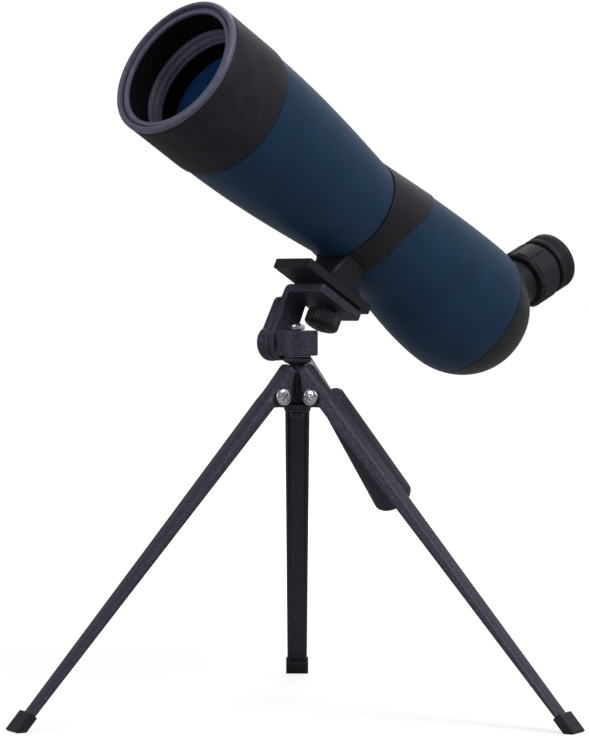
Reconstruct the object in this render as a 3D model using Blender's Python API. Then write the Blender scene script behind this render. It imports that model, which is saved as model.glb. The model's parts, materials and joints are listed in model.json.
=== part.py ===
"""Angled spotting scope on a folding tabletop tripod, as an assembly of closed solids.

Lengths are in millimetres while a piece is worked out and become metres when its mesh is
made. The tripod stands on z = 0 with its rear leg towards +Y. Scope pieces live in
the frame of the tilt axis: x along the line of sight, y to the scope's left, z up.
"""
import math

import bpy
import bmesh
from mathutils import Matrix, Vector

MM = 0.001
GAP = 0.3                    # play left between pieces that touch

# Row frame: the middle of the object's footprint is the origin
SHIFT_X = -5.72
SHIFT_Y = -36.25

# Attitude of the scope at rest
HEADING = 225.2              # degrees from +X, seen from above
ELEVATION = 28.6             # degrees above the horizon
TILT_AXIS_Z = 191.2
OPTICAL_Z = 81.0             # optical axis above the tilt axis

# Front half of the scope, x from the tilt axis
RIM_FRONT = 142.2
RIM_REAR = 138.7
HOOD_REAR = 97.4
HOOD_R = 38.0
HOOD_BORE_R = 31.8
RIM_MOUTH_R = 35.2           # the rim opens wider than the bore, with a ledge between
BARREL_REAR = -2.0
BARREL_REAR_R = 29.5
BARREL_FRONT_R = 37.0
WALL = 2.2
LENS_R = 28.4
CELL_R = 31.4

# Rear half of the scope
COLLAR_PROUD = 0.6
COLLAR_REAR_LOW = -18.0      # the collar is narrow at the bottom and long on top
COLLAR_REAR_TOP = -43.0
HOUSING_END = -111.0
DOME_START = -100.0
DOME_LENGTH = 46.0
SKIN_SEGMENTS = 28

# Eyepiece, along its own axis from where it meets the optical axis
EYE_X = -115.2
EYE_ANGLE = 51.8             # degrees between the eyepiece axis and the line back along the scope
EYE_TUBE_R = 10.2
EYE_BORE_R = 8.6
ZOOM_START = 41.4
ZOOM_END = 58.5
ZOOM_R = 16.0
ZOOM_PADS = 8
CUP_R = 16.4

# Mounting foot, platform and head
PLATE_BOTTOM = 32.7
PLATE_TOP = 38.0
PLATE_HALF_WIDTH = 12.9
PLATFORM_TOP = 31.3
PLATFORM_BOTTOM = 26.5
SCREW_X = -12.5              # camera screw behind the tilt axis
SCREW_R = 3.1
KNUCKLE_R = 9.8
ARM_INNER = -11.0
ARM_OUTER = -19.2
PIVOT_R = 3.0
SCOPE_SIDE = -1.6              # the scope sits this far to the side of the pan axis
BLOCK_R = 10.6
BOSS_R = 9.4                  # round boss of the pan block, on the tilt axis
BLOCK_TOP = 6.3
BLOCK_BOTTOM = -6.7
PAN_BOLT_R = 2.2
HANDLE_DROP = 20.1           # degrees between the handle and the platform
HANDLE_TIP = (-4.0, -15.95, 12.2)
ROD_R = 2.4
GRIP_START = 49.9
GRIP_LENGTH = 77.0
GRIP_R_NEAR = 7.2
GRIP_R_FAR = 10.9

# Focus drive
FOCUS_X = -84.0
FOCUS_Z = 4.0
KNOB_R = 11.0
KNOB_START = 36.2
KNOB_END = 47.0

# Hub and legs
LEG_AZIMUTHS = {"left": 209.5, "right": 328.5, "rear": 90.0}
LEG_ANGLE = 40.9             # degrees from the vertical
PIVOT_RADIUS = 12.8
PIVOT_Z = 163.5
LEG_WALL = 1.3
LEG_OUTSIDE = -5.5           # outer face of the leg's web at its foot, from the pivot line
LEG_SWELL = 1.2              # how much further out that face is at the top
LEG_TOP = -16.2
LEG_END = 215.0
LEG_HALF_TOP = 6.45
LEG_HALF_END = 5.45
EAR_R = 5.5
PIN_R = 1.8
PIN_HOLE_R = 2.1
NECK_R = 7.3
NECK_TOP = 184.0
COLUMN_R = 4.6
LUG_HALF = 4.5
CAP_TOP = 159.2
CAP_BOTTOM = 155.6


def clear_scene():
    for item in list(bpy.data.objects):
        bpy.data.objects.remove(item, do_unlink=True)


def material(name, colour, roughness, metallic=0.0):
    made = bpy.data.materials.new(name)
    made.use_nodes = True
    shader = made.node_tree.nodes["Principled BSDF"]
    shader.inputs["Base Color"].default_value = (*colour, 1.0)
    shader.inputs["Roughness"].default_value = roughness
    shader.inputs["Metallic"].default_value = metallic
    return made


def make_materials():
    return {
        "armour": material("black rubber armour", (0.022, 0.022, 0.027), 0.62),
        "rim": material("grey rim plastic", (0.09, 0.09, 0.11), 0.5),
        "blue": material("blue soft-touch coating", (0.018, 0.048, 0.095), 0.5),
        "plastic": material("black moulded plastic", (0.02, 0.02, 0.024), 0.45),
        "inner": material("matt black inner metal", (0.03, 0.03, 0.03), 0.7, 0.5),
        "glass": material("coated glass", (0.1, 0.2, 0.45), 0.05),
        "powder": material("speckled powder coat", (0.035, 0.036, 0.05), 0.5, 0.3),
        "rubber": material("foot rubber", (0.02, 0.02, 0.022), 0.8),
        "chrome": material("chromed steel", (0.75, 0.75, 0.77), 0.15, 1.0),
        "brass": material("brass", (0.6, 0.45, 0.2), 0.3, 1.0),
    }


def guide(name, matrix, parent=None):
    """An empty that carries a frame of its own."""
    empty = bpy.data.objects.new(name, None)
    bpy.context.collection.objects.link(empty)
    empty.empty_display_size = 10.0 * MM
    empty.parent = parent
    empty.matrix_basis = matrix
    return empty


def columns(x_axis, y_axis, z_axis, place):
    """Matrix whose columns are three unit axes and a place in millimetres."""
    turn = Matrix((x_axis, y_axis, z_axis)).transposed().to_4x4()
    return Matrix.Translation(Vector(place) * MM) @ turn


def solid(name, points, faces, finish, frame, smooth=True):
    """A mesh object from points in millimetres, with its faces turned outwards."""
    mesh = bpy.data.meshes.new(name)
    mesh.from_pydata([tuple(c * MM for c in p) for p in points], [], faces)
    work = bmesh.new()
    work.from_mesh(mesh)
    bmesh.ops.recalc_face_normals(work, faces=work.faces)
    work.to_mesh(mesh)
    work.free()
    mesh.polygons.foreach_set("use_smooth", [smooth] * len(mesh.polygons))
    mesh.set_sharp_from_angle(angle=math.radians(32.0))
    mesh.materials.append(finish)
    made = bpy.data.objects.new(name, mesh)
    bpy.context.collection.objects.link(made)
    made.parent = frame
    return made


def strips(rings, closed_along):
    """Faces between neighbouring rings of equal length; a ring of one point is a pole."""
    starts = []
    total = 0
    for ring in rings:
        starts.append(total)
        total += len(ring)
    faces = []
    count = len(rings)
    for i in range(count if closed_along else count - 1):
        j = (i + 1) % count
        a, b = rings[i], rings[j]
        n = max(len(a), len(b))
        for k in range(n):
            m = (k + 1) % n
            if len(a) == 1:
                faces.append((starts[i], starts[j] + k, starts[j] + m))
            elif len(b) == 1:
                faces.append((starts[i] + k, starts[j], starts[i] + m))
            else:
                faces.append((starts[i] + k, starts[j] + k, starts[j] + m, starts[i] + m))
    return faces


def loft(name, rings, finish, frame, closed_along=False, smooth=True):
    """A solid through rings of points. Open ends are capped unless they are poles."""
    points = [p for ring in rings for p in ring]
    faces = strips(rings, closed_along)
    if not closed_along:
        if len(rings[0]) > 1:
            faces.append(tuple(range(len(rings[0]))))
        if len(rings[-1]) > 1:
            last = len(points) - len(rings[-1])
            faces.append(tuple(range(last, len(points))))
    return solid(name, points, faces, finish, frame, smooth)


def circle(x, radius, segments):
    """A ring about the x axis, or its centre point where the radius is nothing."""
    if radius == 0.0:
        return [(x, 0.0, 0.0)]
    steps = [2.0 * math.pi * k / segments for k in range(segments)]
    return [(x, radius * math.cos(s), radius * math.sin(s)) for s in steps]


def turned(name, profile, finish, frame, segments=20, ring=False):
    """A lathe-turned solid about the frame's x axis from (x, radius) points."""
    return loft(name, [circle(x, r, segments) for x, r in profile], finish, frame, ring)


def tube(name, x0, x1, bore, radius, finish, frame, segments=20, chamfer=0.4):
    """A turned sleeve with its outer edges broken."""
    profile = [
        (x0, bore),
        (x0, radius - chamfer),
        (x0 + chamfer, radius),
        (x1 - chamfer, radius),
        (x1, radius - chamfer),
        (x1, bore),
    ]
    return turned(name, profile, finish, frame, segments, ring=True)


def rod(name, x0, x1, radius, finish, frame, segments=20, chamfer=0.3):
    """A turned bar with its end edges broken."""
    profile = [
        (x0, 0.0),
        (x0, radius - chamfer),
        (x0 + chamfer, radius),
        (x1 - chamfer, radius),
        (x1, radius - chamfer),
        (x1, 0.0),
    ]
    return turned(name, profile, finish, frame, segments)


def slab(name, low, high, finish, frame, bevel=0.0):
    """A block between two corners, with its edges rounded by a Bevel modifier."""
    (x0, y0, z0), (x1, y1, z1) = low, high
    rings = [[(x, y0, z0), (x, y1, z0), (x, y1, z1), (x, y0, z1)] for x in (x0, x1)]
    made = loft(name, rings, finish, frame, smooth=False)
    if bevel:
        rounding = made.modifiers.new("rounded edges", "BEVEL")
        rounding.width = bevel * MM
        rounding.segments = 3
    return made


def plate_outline(name, outline, y0, y1, finish, frame):
    """An outline in x and z given a thickness along y."""
    rings = [[(x, y, z) for x, z in outline] for y in (y0, y1)]
    return loft(name, rings, finish, frame, smooth=False)


def hidden(tool):
    tool.hide_render = True
    tool.display_type = "WIRE"
    return tool


def combine(target, tool, operation):
    """Adds a tool solid to the target or cuts it away."""
    step = target.modifiers.new(operation.lower(), "BOOLEAN")
    step.operation = operation
    step.solver = "EXACT"
    step.object = hidden(tool)


def drill(target, frame, x0, x1, radius, segments=20):
    """Cuts a round hole along the frame's x axis."""
    tool = rod(target.name + "_drill", x0, x1, radius, target.data.materials[0], frame, segments, 0.0)
    combine(target, tool, "DIFFERENCE")


def toothed_ring(x, root, tip, teeth):
    """A ring about the x axis with square ribs."""
    points = []
    for k in range(teeth * 4):
        radius = tip if k % 4 in (1, 2) else root
        turn = 2.0 * math.pi * (k + 0.5) / (teeth * 4)
        points.append((x, radius * math.cos(turn), radius * math.sin(turn)))
    return points


# ---- body skin -------------------------------------------------------------------------

def barrel_radius(x):
    """The barrel widens from the collar in a quarter sine."""
    share = (x - BARREL_REAR) / (HOOD_REAR - BARREL_REAR)
    return BARREL_REAR_R + (BARREL_FRONT_R - BARREL_REAR_R) * math.sin(share * math.pi / 2.0)


def skin_section(x):
    """Heights above and below the axis and half-width of the rear body at x."""
    cone_end = -44.0
    if x > cone_end:
        share = (BARREL_REAR - x) / (BARREL_REAR - cone_end)
        return [BARREL_REAR_R + share * grow for grow in (3.7, 3.0, 3.4)]
    share = min(1.0, (cone_end - x) / (cone_end - DOME_START))
    ease = math.sin(share * math.pi / 2.0)
    sizes = [33.2 + 2.1 * ease, 32.5 + 8.8 * ease, 32.9 + 2.6 * ease]
    if x < DOME_START:
        along = min(1.0, (DOME_START - x) / DOME_LENGTH)
        close = math.sqrt(max(0.0, 1.0 - along * along))
        sizes = [s * close for s in sizes]
    return sizes


def skin_point(x, turn, inset):
    """A point of the rear body's skin; turn is measured from the left side upwards."""
    top, bottom, half = [max(s - inset, 0.01) for s in skin_section(x)]
    rise = top if math.sin(turn) > 0.0 else bottom
    return (x, half * math.cos(turn), rise * math.sin(turn))


def skin_ring(x, inset, offset=None):
    """A ring of the skin at x, or at an x that depends on the turn."""
    points = []
    for k in range(SKIN_SEGMENTS):
        turn = 2.0 * math.pi * k / SKIN_SEGMENTS
        here = x + (offset(turn) if offset else 0.0)
        points.append(skin_point(here, turn, inset))
    return points


def collar_edge(turn):
    """How far the collar's rear edge lies behind its lowest part, at a turn."""
    lift = (math.sin(turn) + 0.35) / 1.35
    return (COLLAR_REAR_TOP - COLLAR_REAR_LOW) * max(0.0, lift) ** 1.25


# ---- objective end ---------------------------------------------------------------------

def make_hood(axis, finish):
    turned("front_rim", [
        (RIM_REAR, HOOD_BORE_R),
        (RIM_REAR, HOOD_R + 0.1),
        (RIM_FRONT - 0.8, HOOD_R + 0.1),
        (RIM_FRONT, HOOD_R - 0.7),
        (RIM_FRONT, RIM_MOUTH_R),
        (RIM_FRONT - 1.9, RIM_MOUTH_R - 0.2),
        (RIM_FRONT - 1.9, HOOD_BORE_R),
    ], finish["rim"], axis, 36, ring=True)
    turned("objective_hood", [
        (HOOD_REAR, HOOD_BORE_R),
        (HOOD_REAR, HOOD_R - 0.9),
        (HOOD_REAR + 1.2, HOOD_R - 0.3),
        (HOOD_REAR + 3.2, HOOD_R),
        (RIM_REAR - GAP, HOOD_R),
        (RIM_REAR - GAP, HOOD_BORE_R),
    ], finish["armour"], axis, 36, ring=True)


def make_barrel(axis, finish):
    """The tapered blue tube between the hood and the collar."""
    steps = 5
    front = HOOD_REAR - GAP
    stations = [front + (BARREL_REAR - front) * k / steps for k in range(steps + 1)]
    outside = [(x, barrel_radius(x)) for x in stations]
    inside = [(x, barrel_radius(x) - WALL) for x in reversed(stations)]
    turned("front_barrel", outside + inside, finish["blue"], axis, 36, ring=True)


def make_objective(axis, finish):
    turned("objective_cell", [
        (99.0, 26.6),
        (99.0, CELL_R),
        (113.0, CELL_R),
        (113.0, LENS_R + GAP),
        (101.1, LENS_R + GAP),
        (101.1, 26.6),
    ], finish["inner"], axis, 24, ring=True)
    lens("objective_front_lens", 104.2, 110.8, 106.2, 108.6, LENS_R, finish["glass"], axis)
    lens("objective_rear_lens", 101.6, 103.8, 101.6, 105.8, LENS_R, finish["glass"], axis)
    tube("lens_retaining_ring", 109.0, 111.6, 26.7, LENS_R, finish["inner"], axis, 24)
    turned("front_trim_ring", [
        (113.3, 28.7),
        (113.3, HOOD_BORE_R - GAP),
        (125.0, HOOD_BORE_R - GAP),
        (125.0, 31.0),
        (122.4, 30.4),
        (122.4, 29.9),
        (118.0, 29.3),
        (118.0, 28.7),
    ], finish["inner"], axis, 24, ring=True)
    baffle_x = 60.0
    tube("light_baffle", baffle_x, baffle_x + 2.0, 24.0, barrel_radius(baffle_x) - WALL - GAP,
         finish["inner"], axis, 24)


def lens(name, rear, front, rear_rim, front_rim, radius, finish, axis):
    """A lens from its two vertex places and its two rim places, with spherical faces."""
    steps = 2

    def face(vertex, rim):
        shares = [k / steps for k in range(steps + 1)]
        return [(vertex + (rim - vertex) * s * s, radius * s) for s in shares]

    profile = face(front, front_rim) + list(reversed(face(rear, rear_rim)))
    return turned(name, profile, finish, axis, 20)


# ---- rear body -------------------------------------------------------------------------

def make_collar(axis, finish):
    front = BARREL_REAR - GAP
    rings = []
    for inset in (-COLLAR_PROUD, WALL):
        shares = (0.0, 0.5, 1.0) if inset < 0.0 else (1.0, 0.5, 0.0)
        for share in shares:
            middle = front + (COLLAR_REAR_LOW - front) * share
            rings.append(skin_ring(middle, inset, lambda turn, s=share: s * collar_edge(turn)))
    loft("mount_collar", rings, finish["plastic"], axis, closed_along=True)


def make_housing(axis, finish):
    """The blue prism housing, a shell between the collar and the rear cover."""
    front = COLLAR_REAR_LOW - GAP
    steps = 6
    rings = []
    for inset in (0.0, WALL):
        order = range(steps + 1) if inset == 0.0 else range(steps, -1, -1)
        for k in order:
            share = k / steps
            middle = front + (HOUSING_END - front) * share
            fade = (1.0 - share) ** 1.5
            rings.append(skin_ring(middle, inset, lambda turn, f=fade: f * collar_edge(turn)))
    housing = loft("prism_housing", rings, finish["blue"], axis, closed_along=True)
    return housing


def make_rear_cover(axis, finish):
    """The black domed end, open towards the housing."""
    start = HOUSING_END - GAP
    end = DOME_START - DOME_LENGTH
    shares = (0.0, 0.3, 0.55, 0.75, 0.89, 0.97)
    outside = [skin_ring(start + (end - start) * s, 0.0) for s in shares]
    inside = [skin_ring(start + (end + WALL - start) * s, WALL) for s in reversed(shares[:-1])]
    pole_out = [[(end, 0.0, 0.0)]]
    pole_in = [[(end + WALL, 0.0, 0.0)]]
    rings = outside + pole_out
    rings_in = pole_in + inside
    points = [p for ring in rings + rings_in for p in ring]
    faces = strips(rings, False)
    shift = sum(len(r) for r in rings)
    faces += [tuple(i + shift for i in f) for f in strips(rings_in, False)]
    rim_in = shift + sum(len(r) for r in rings_in) - SKIN_SEGMENTS
    for k in range(SKIN_SEGMENTS):
        m = (k + 1) % SKIN_SEGMENTS
        faces.append((k, m, rim_in + m, rim_in + k))
    return solid("rear_cover", points, faces, finish["plastic"], axis)


def make_prisms(axis, finish):
    """Prism shelf with its aperture and the two glass blocks behind it."""
    shelf = tube("prism_shelf", -56.0, -53.5, 13.0, 29.0, finish["inner"], axis, 24)
    erector = [(-57.0, -15.0), (-57.0, 15.0), (-73.0, 15.0), (-81.0, 0.0), (-73.0, -15.0)]
    plate_outline("erecting_prism", erector, -13.0, 13.0, finish["glass"], axis)
    bender = [(-86.0, -13.0), (-86.0, 13.0), (-98.0, 17.5), (-114.0, 5.0), (-104.0, -13.0)]
    plate_outline("deflecting_prism", bender, -11.0, 11.0, finish["glass"], axis)
    return shelf


def make_focus(axis, side, shelf, finish):
    """Focusing lens in its carriage, the rod that draws it, and the knob on the right."""
    tube("focus_carriage", 22.0, 34.0, 20.9, 26.0, finish["inner"], axis, 24)
    lens("focus_lens", 25.4, 27.4, 23.4, 31.4, 20.6, finish["glass"], axis)
    rod_frame = guide("focus_rod_line", Matrix.Translation(Vector((0.0, -23.4, FOCUS_Z)) * MM), axis)
    rod("focus_rod", -80.0, 21.7, 1.6, finish["chrome"], rod_frame, 12)
    drill(shelf, rod_frame, -60.0, -50.0, 2.0, 12)
    rod("focus_shaft", 25.8, KNOB_END - 4.0, 3.0, finish["chrome"], side, 20)
    bore = 3.3
    profile = [
        (KNOB_END, 7.2, False),
        (KNOB_END, KNOB_R - 1.4, False),
        (KNOB_END - 1.0, KNOB_R, True),
        (KNOB_START + 1.2, KNOB_R, True),
        (KNOB_START, KNOB_R - 1.6, False),
        (KNOB_START, bore, False),
        (KNOB_END - 3.6, bore, False),
        (KNOB_END - 3.6, 1.2, False),
        (KNOB_END - 1.6, 1.2, False),
        (KNOB_END - 1.6, 7.2, False),
    ]
    teeth = 10
    rings = [toothed_ring(x, r - 0.5 if ribbed else r, r, teeth) for x, r, ribbed in profile]
    loft("focus_knob", rings, finish["armour"], side, closed_along=True)
    rod("focus_knob_cap", KNOB_END - 1.3, KNOB_END + 0.3, 6.8, finish["plastic"], side, 28)


# ---- eyepiece --------------------------------------------------------------------------

def make_eyepiece(axis, finish):
    """Eyepiece pieces about their own axis, from the socket out to the eyecup."""
    tube("eyepiece_socket", 21.0, ZOOM_START - GAP, EYE_TUBE_R + GAP, 13.2, finish["plastic"], axis)
    turned("eyepiece_barrel", [
        (19.0, EYE_BORE_R),
        (19.0, EYE_TUBE_R),
        (ZOOM_END + GAP, EYE_TUBE_R),
        (ZOOM_END + GAP, 14.4),
        (60.6, 14.4),
        (60.6, 12.4),
        (70.6, 12.4),
        (70.6, EYE_BORE_R),
    ], finish["plastic"], axis, 24, ring=True)
    make_zoom_ring(axis, finish)
    tube("zoom_lens_cell", 32.0, 40.0, 6.9, 8.2, finish["inner"], axis, 20, 0.2)
    lens("zoom_lens", 34.0, 38.0, 35.4, 36.6, 6.6, finish["glass"], axis)
    lens("field_lens", 20.0, 23.6, 21.2, 22.4, 8.3, finish["glass"], axis)
    lens("eye_lens", 62.4, 67.6, 64.0, 66.0, 8.3, finish["glass"], axis)
    tube("eye_lens_ring", 68.0, 70.2, 6.9, 8.3, finish["inner"], axis, 20, 0.2)
    turned("eyecup", [
        (60.9, 12.8),
        (60.9, CUP_R - 0.5),
        (61.5, CUP_R),
        (71.0, CUP_R),
        (72.8, CUP_R - 0.7),
        (73.5, CUP_R - 2.2),
        (73.2, 12.0),
        (72.4, 9.2),
        (70.9, 9.0),
        (70.9, 12.8),
    ], finish["rubber"], axis, 24, ring=True)


def make_zoom_ring(axis, finish):
    """Zoom ring with raised grip pads."""
    bore = EYE_TUBE_R + 0.4
    pad = 0.7
    profile = [
        (ZOOM_START, bore, 0.0),
        (ZOOM_START, ZOOM_R - 1.0, 0.0),
        (ZOOM_START + 1.2, ZOOM_R - 0.1, 0.0),
        (ZOOM_START + 1.5, ZOOM_R, pad),
        (ZOOM_END - 1.5, ZOOM_R, pad),
        (ZOOM_END - 1.2, ZOOM_R - 0.1, 0.0),
        (ZOOM_END, ZOOM_R - 1.0, 0.0),
        (ZOOM_END, bore, 0.0),
    ]
    steps = ZOOM_PADS * 6
    rings = []
    for x, radius, rise in profile:
        ring = []
        for k in range(steps):
            turn = 2.0 * math.pi * k / steps
            here = radius + (rise if k % 6 in (1, 2, 3, 4) else 0.0)
            ring.append((x, here * math.cos(turn), here * math.sin(turn)))
        rings.append(ring)
    loft("zoom_ring", rings, finish["rubber"], axis, closed_along=True)


# ---- mounting foot and head ------------------------------------------------------------

def rectangle_ring(z, x0, x1, half, corner):
    """A level rectangle with rounded corners, as a ring of points."""
    points = []
    middles = [(x1 - corner, half - corner), (x0 + corner, half - corner),
               (x0 + corner, corner - half), (x1 - corner, corner - half)]
    for quarter, (cx, cy) in enumerate(middles):
        for k in range(4):
            turn = math.radians(90.0 * quarter + 30.0 * k)
            points.append((cx + corner * math.cos(turn), cy + corner * math.sin(turn), z))
    return points


def make_scope_foot(scope, axis, finish):
    """The pedestal under the collar and the plate that sits on the tripod."""
    levels = [
        (PLATE_TOP - 2.0, -28.0, 5.0, 11.2, 1.5),
        (PLATE_TOP + 1.0, -27.4, 4.4, 10.8, 1.5),
        (PLATE_TOP + 4.5, -22.0, 2.0, 9.6, 2.5),
        (PLATE_TOP + 9.5, -18.8, -1.4, 10.6, 3.0),
        (PLATE_TOP + 22.0, -18.0, -2.6, 16.0, 3.0),
    ]
    rings = [rectangle_ring(*level) for level in levels]
    foot = loft("scope_foot", rings, finish["plastic"], scope)
    plate = slab("scope_foot_plate", (-30.0, -PLATE_HALF_WIDTH, PLATE_BOTTOM),
                 (22.0, PLATE_HALF_WIDTH, PLATE_TOP), finish["plastic"], scope, 0.5)
    combine(foot, plate, "UNION")
    stations = (10.0, BARREL_REAR, -44.0)
    clear_of = COLLAR_PROUD + GAP
    rings = [[(10.0, 0.0, 0.0)]]
    rings += [skin_ring(x, -clear_of) for x in stations]
    rings += [[(-44.0, 0.0, 0.0)]]
    combine(foot, loft("collar_clearance", rings, finish["plastic"], axis), "DIFFERENCE")
    upright = upright_frame("foot_thread_line", SCREW_X, scope)
    drill(foot, upright, PLATE_BOTTOM - 2.0, 41.4, 6.0 + GAP)
    tube("thread_insert", PLATE_BOTTOM + GAP, 41.0, SCREW_R + GAP, 6.0, finish["brass"], upright, 24)


def upright_frame(name, x, parent):
    """A frame whose x axis runs straight up from the parent's x."""
    up = columns((0.0, 0.0, 1.0), (1.0, 0.0, 0.0), (0.0, 1.0, 0.0), (x, 0.0, 0.0))
    return guide(name, up, parent)


def make_camera_screw(upright, finish):
    """The knurled thumb screw that holds the scope on the platform."""
    teeth = 10
    knob = [
        (14.4, 0.0, 0.0),
        (14.7, 5.0, 0.0),
        (15.8, 8.2, 0.0),
        (16.8, 9.2, 0.55),
        (23.0, 9.2, 0.55),
        (23.8, 8.2, 0.0),
        (24.0, 5.0, 0.0),
        (26.1, 5.0, 0.0),
        (26.1, SCREW_R, 0.0),
        (39.0, SCREW_R, 0.0),
        (39.0, 0.0, 0.0),
    ]
    rings = []
    for x, radius, cut in knob:
        if radius == 0.0:
            rings.append([(x, 0.0, 0.0)])
        else:
            rings.append(toothed_ring(x, radius - cut, radius, teeth))
    loft("camera_screw", rings, finish["plastic"], upright)


def make_tilt_bracket(scope, finish):
    """Platform, the arm that turns down from it, and the knuckle on the tilt axis."""
    platform = slab("tilt_bracket", (-26.0, -15.6, PLATFORM_BOTTOM), (7.0, 12.2, PLATFORM_TOP),
                    finish["powder"], scope, 0.8)
    arm = knuckle_outline(KNUCKLE_R - 0.3, -7.6, 7.0, PLATFORM_TOP - 2.4)
    combine(platform, plate_outline("arm_web", arm, ARM_INNER, -15.4, finish["powder"], scope), "UNION")
    rib = knuckle_outline(KNUCKLE_R, -9.4, 8.2, 24.4)
    combine(platform, plate_outline("arm_rib", rib, ARM_OUTER, -15.0, finish["powder"], scope), "UNION")
    across = guide("tilt_line", columns((0.0, 1.0, 0.0), (0.0, 0.0, 1.0), (1.0, 0.0, 0.0),
                                        (0.0, 0.0, 0.0)), scope)
    drill(platform, across, ARM_OUTER - 2.0, ARM_INNER + 2.0, PIVOT_R + GAP)
    upright = upright_frame("platform_thread_line", SCREW_X, scope)
    drill(platform, upright, PLATFORM_BOTTOM - 2.0, PLATFORM_TOP + 2.0, SCREW_R + 0.5)
    return platform, upright


def knuckle_outline(radius, rear, front, top):
    """Side outline of the arm: a half circle on the tilt axis and a tapering upright."""
    points = []
    for k in range(9):
        turn = math.radians(180.0 + 180.0 * k / 8.0)
        points.append((radius * math.cos(turn), radius * math.sin(turn)))
    corner = 3.0
    for middle_x, start in ((front - corner, 0.0), (rear + corner, 90.0)):
        for k in range(4):
            turn = math.radians(start + 30.0 * k)
            points.append((middle_x + corner * math.cos(turn), top - corner + corner * math.sin(turn)))
    return points


def make_handle(scope, bracket, finish):
    """The pan handle: a rod screwed into the arm and a conical grip."""
    drop = math.radians(HANDLE_DROP)
    along = (-math.cos(drop), 0.0, -math.sin(drop))
    down = (math.sin(drop), 0.0, -math.cos(drop))
    line = guide("handle_line", columns(along, (0.0, -1.0, 0.0), down, HANDLE_TIP), scope)
    drill(bracket, line, -0.6, 30.0, ROD_R + GAP)
    rod("handle_rod", 0.0, GRIP_START + 34.0, ROD_R, finish["chrome"], line, 20)
    end = GRIP_START + GRIP_LENGTH
    grip = turned("handle_grip", [
        (GRIP_START, 0.0),
        (GRIP_START, GRIP_R_NEAR - 1.0),
        (GRIP_START + 1.2, GRIP_R_NEAR),
        (end - 1.2, GRIP_R_FAR),
        (end, GRIP_R_FAR - 1.4),
        (end, 0.0),
    ], finish["plastic"], line, 24)
    drill(grip, line, GRIP_START - 5.0, GRIP_START + 34.3, ROD_R + GAP)


def make_head(post, pan, finish):
    """Pan block, its bolt, nut and washer, and the tilt pivot bolt."""
    upright = guide("pan_line", columns((0.0, 0.0, 1.0), (1.0, 0.0, 0.0), (0.0, 1.0, 0.0),
                                        (0.0, 0.0, TILT_AXIS_Z)), post)
    block_line = guide("block_line", columns((0.0, 0.0, 1.0), (1.0, 0.0, 0.0), (0.0, 1.0, 0.0),
                                             (0.0, 0.0, 0.0)), pan)
    across = guide("pivot_line", columns((0.0, -1.0, 0.0), (0.0, 0.0, 1.0), (-1.0, 0.0, 0.0),
                                         (0.0, 0.0, 0.0)), pan)
    arm_inner = -ARM_INNER - SCOPE_SIDE
    arm_outer = -ARM_OUTER - SCOPE_SIDE
    block = rod("pan_block", BLOCK_BOTTOM, BLOCK_TOP, BLOCK_R, finish["powder"], block_line, 32, 0.6)
    boss = rod("pivot_boss", 7.9, arm_inner - GAP, BOSS_R, finish["powder"], across, 32, 0.0)
    top = slab("boss_top", (-20.0, -20.0, BLOCK_TOP - 0.05), (20.0, 20.0, 20.0), finish["powder"], pan)
    combine(boss, top, "DIFFERENCE")
    combine(block, boss, "UNION")
    drill(block, across, 4.3, 20.0, PIVOT_R + GAP)
    drill(block, block_line, -20.0, 20.0, PAN_BOLT_R + GAP)
    turned("tilt_pivot_bolt", [
        (4.6, 0.0),
        (4.6, PIVOT_R),
        (arm_outer + GAP, PIVOT_R),
        (arm_outer + GAP, 6.0),
        (arm_outer + 1.9, 6.0),
        (arm_outer + 2.7, 4.6),
        (arm_outer + 2.7, 0.0),
    ], finish["chrome"], across, 20)
    head_top = CAP_BOTTOM - GAP - TILT_AXIS_Z
    turned("pan_bolt", [
        (head_top - 2.6, 0.0),
        (head_top - 2.6, 3.0),
        (head_top - 1.8, 3.8),
        (head_top, 3.8),
        (head_top, PAN_BOLT_R),
        (9.6, PAN_BOLT_R),
        (10.0, PAN_BOLT_R - 0.4),
        (10.0, 0.0),
    ], finish["chrome"], upright, 20)
    hexagon("pan_nut", BLOCK_TOP + GAP, BLOCK_TOP + 2.9, PAN_BOLT_R + GAP, 4.0, finish["chrome"], upright)
    washer_top = BLOCK_BOTTOM - 0.1
    tube("pan_washer", NECK_TOP - TILT_AXIS_Z + 0.1, washer_top, PAN_BOLT_R + GAP, 6.6,
         finish["chrome"], upright, 20, 0.1)


def hexagon(name, x0, x1, bore, radius, finish, frame):
    """A six-sided nut with a round hole."""
    segments = 18

    def rim(x):
        points = []
        for k in range(segments):
            turn = 2.0 * math.pi * k / segments
            facet = (turn % (math.pi / 3.0)) - math.pi / 6.0
            reach = radius * math.cos(math.pi / 6.0) / math.cos(facet)
            points.append((x, reach * math.cos(turn), reach * math.sin(turn)))
        return points

    rings = [circle(x0, bore, segments), rim(x0), rim(x1), circle(x1, bore, segments)]
    return loft(name, rings, finish, frame, closed_along=True)


# ---- hub and legs ----------------------------------------------------------------------

def leg_matrix(azimuth):
    """Frame of one leg at its pivot: x down the leg, z towards the middle, y along the pin."""
    a = math.radians(azimuth)
    lean = math.radians(LEG_ANGLE)
    radial = Vector((math.cos(a), math.sin(a), 0.0))
    up = Vector((0.0, 0.0, 1.0))
    along = radial * math.sin(lean) - up * math.cos(lean)
    inward = -radial * math.cos(lean) - up * math.sin(lean)
    pin = inward.cross(along)
    place = radial * PIVOT_RADIUS + up * PIVOT_Z
    return columns(along, pin, inward, place)


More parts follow.
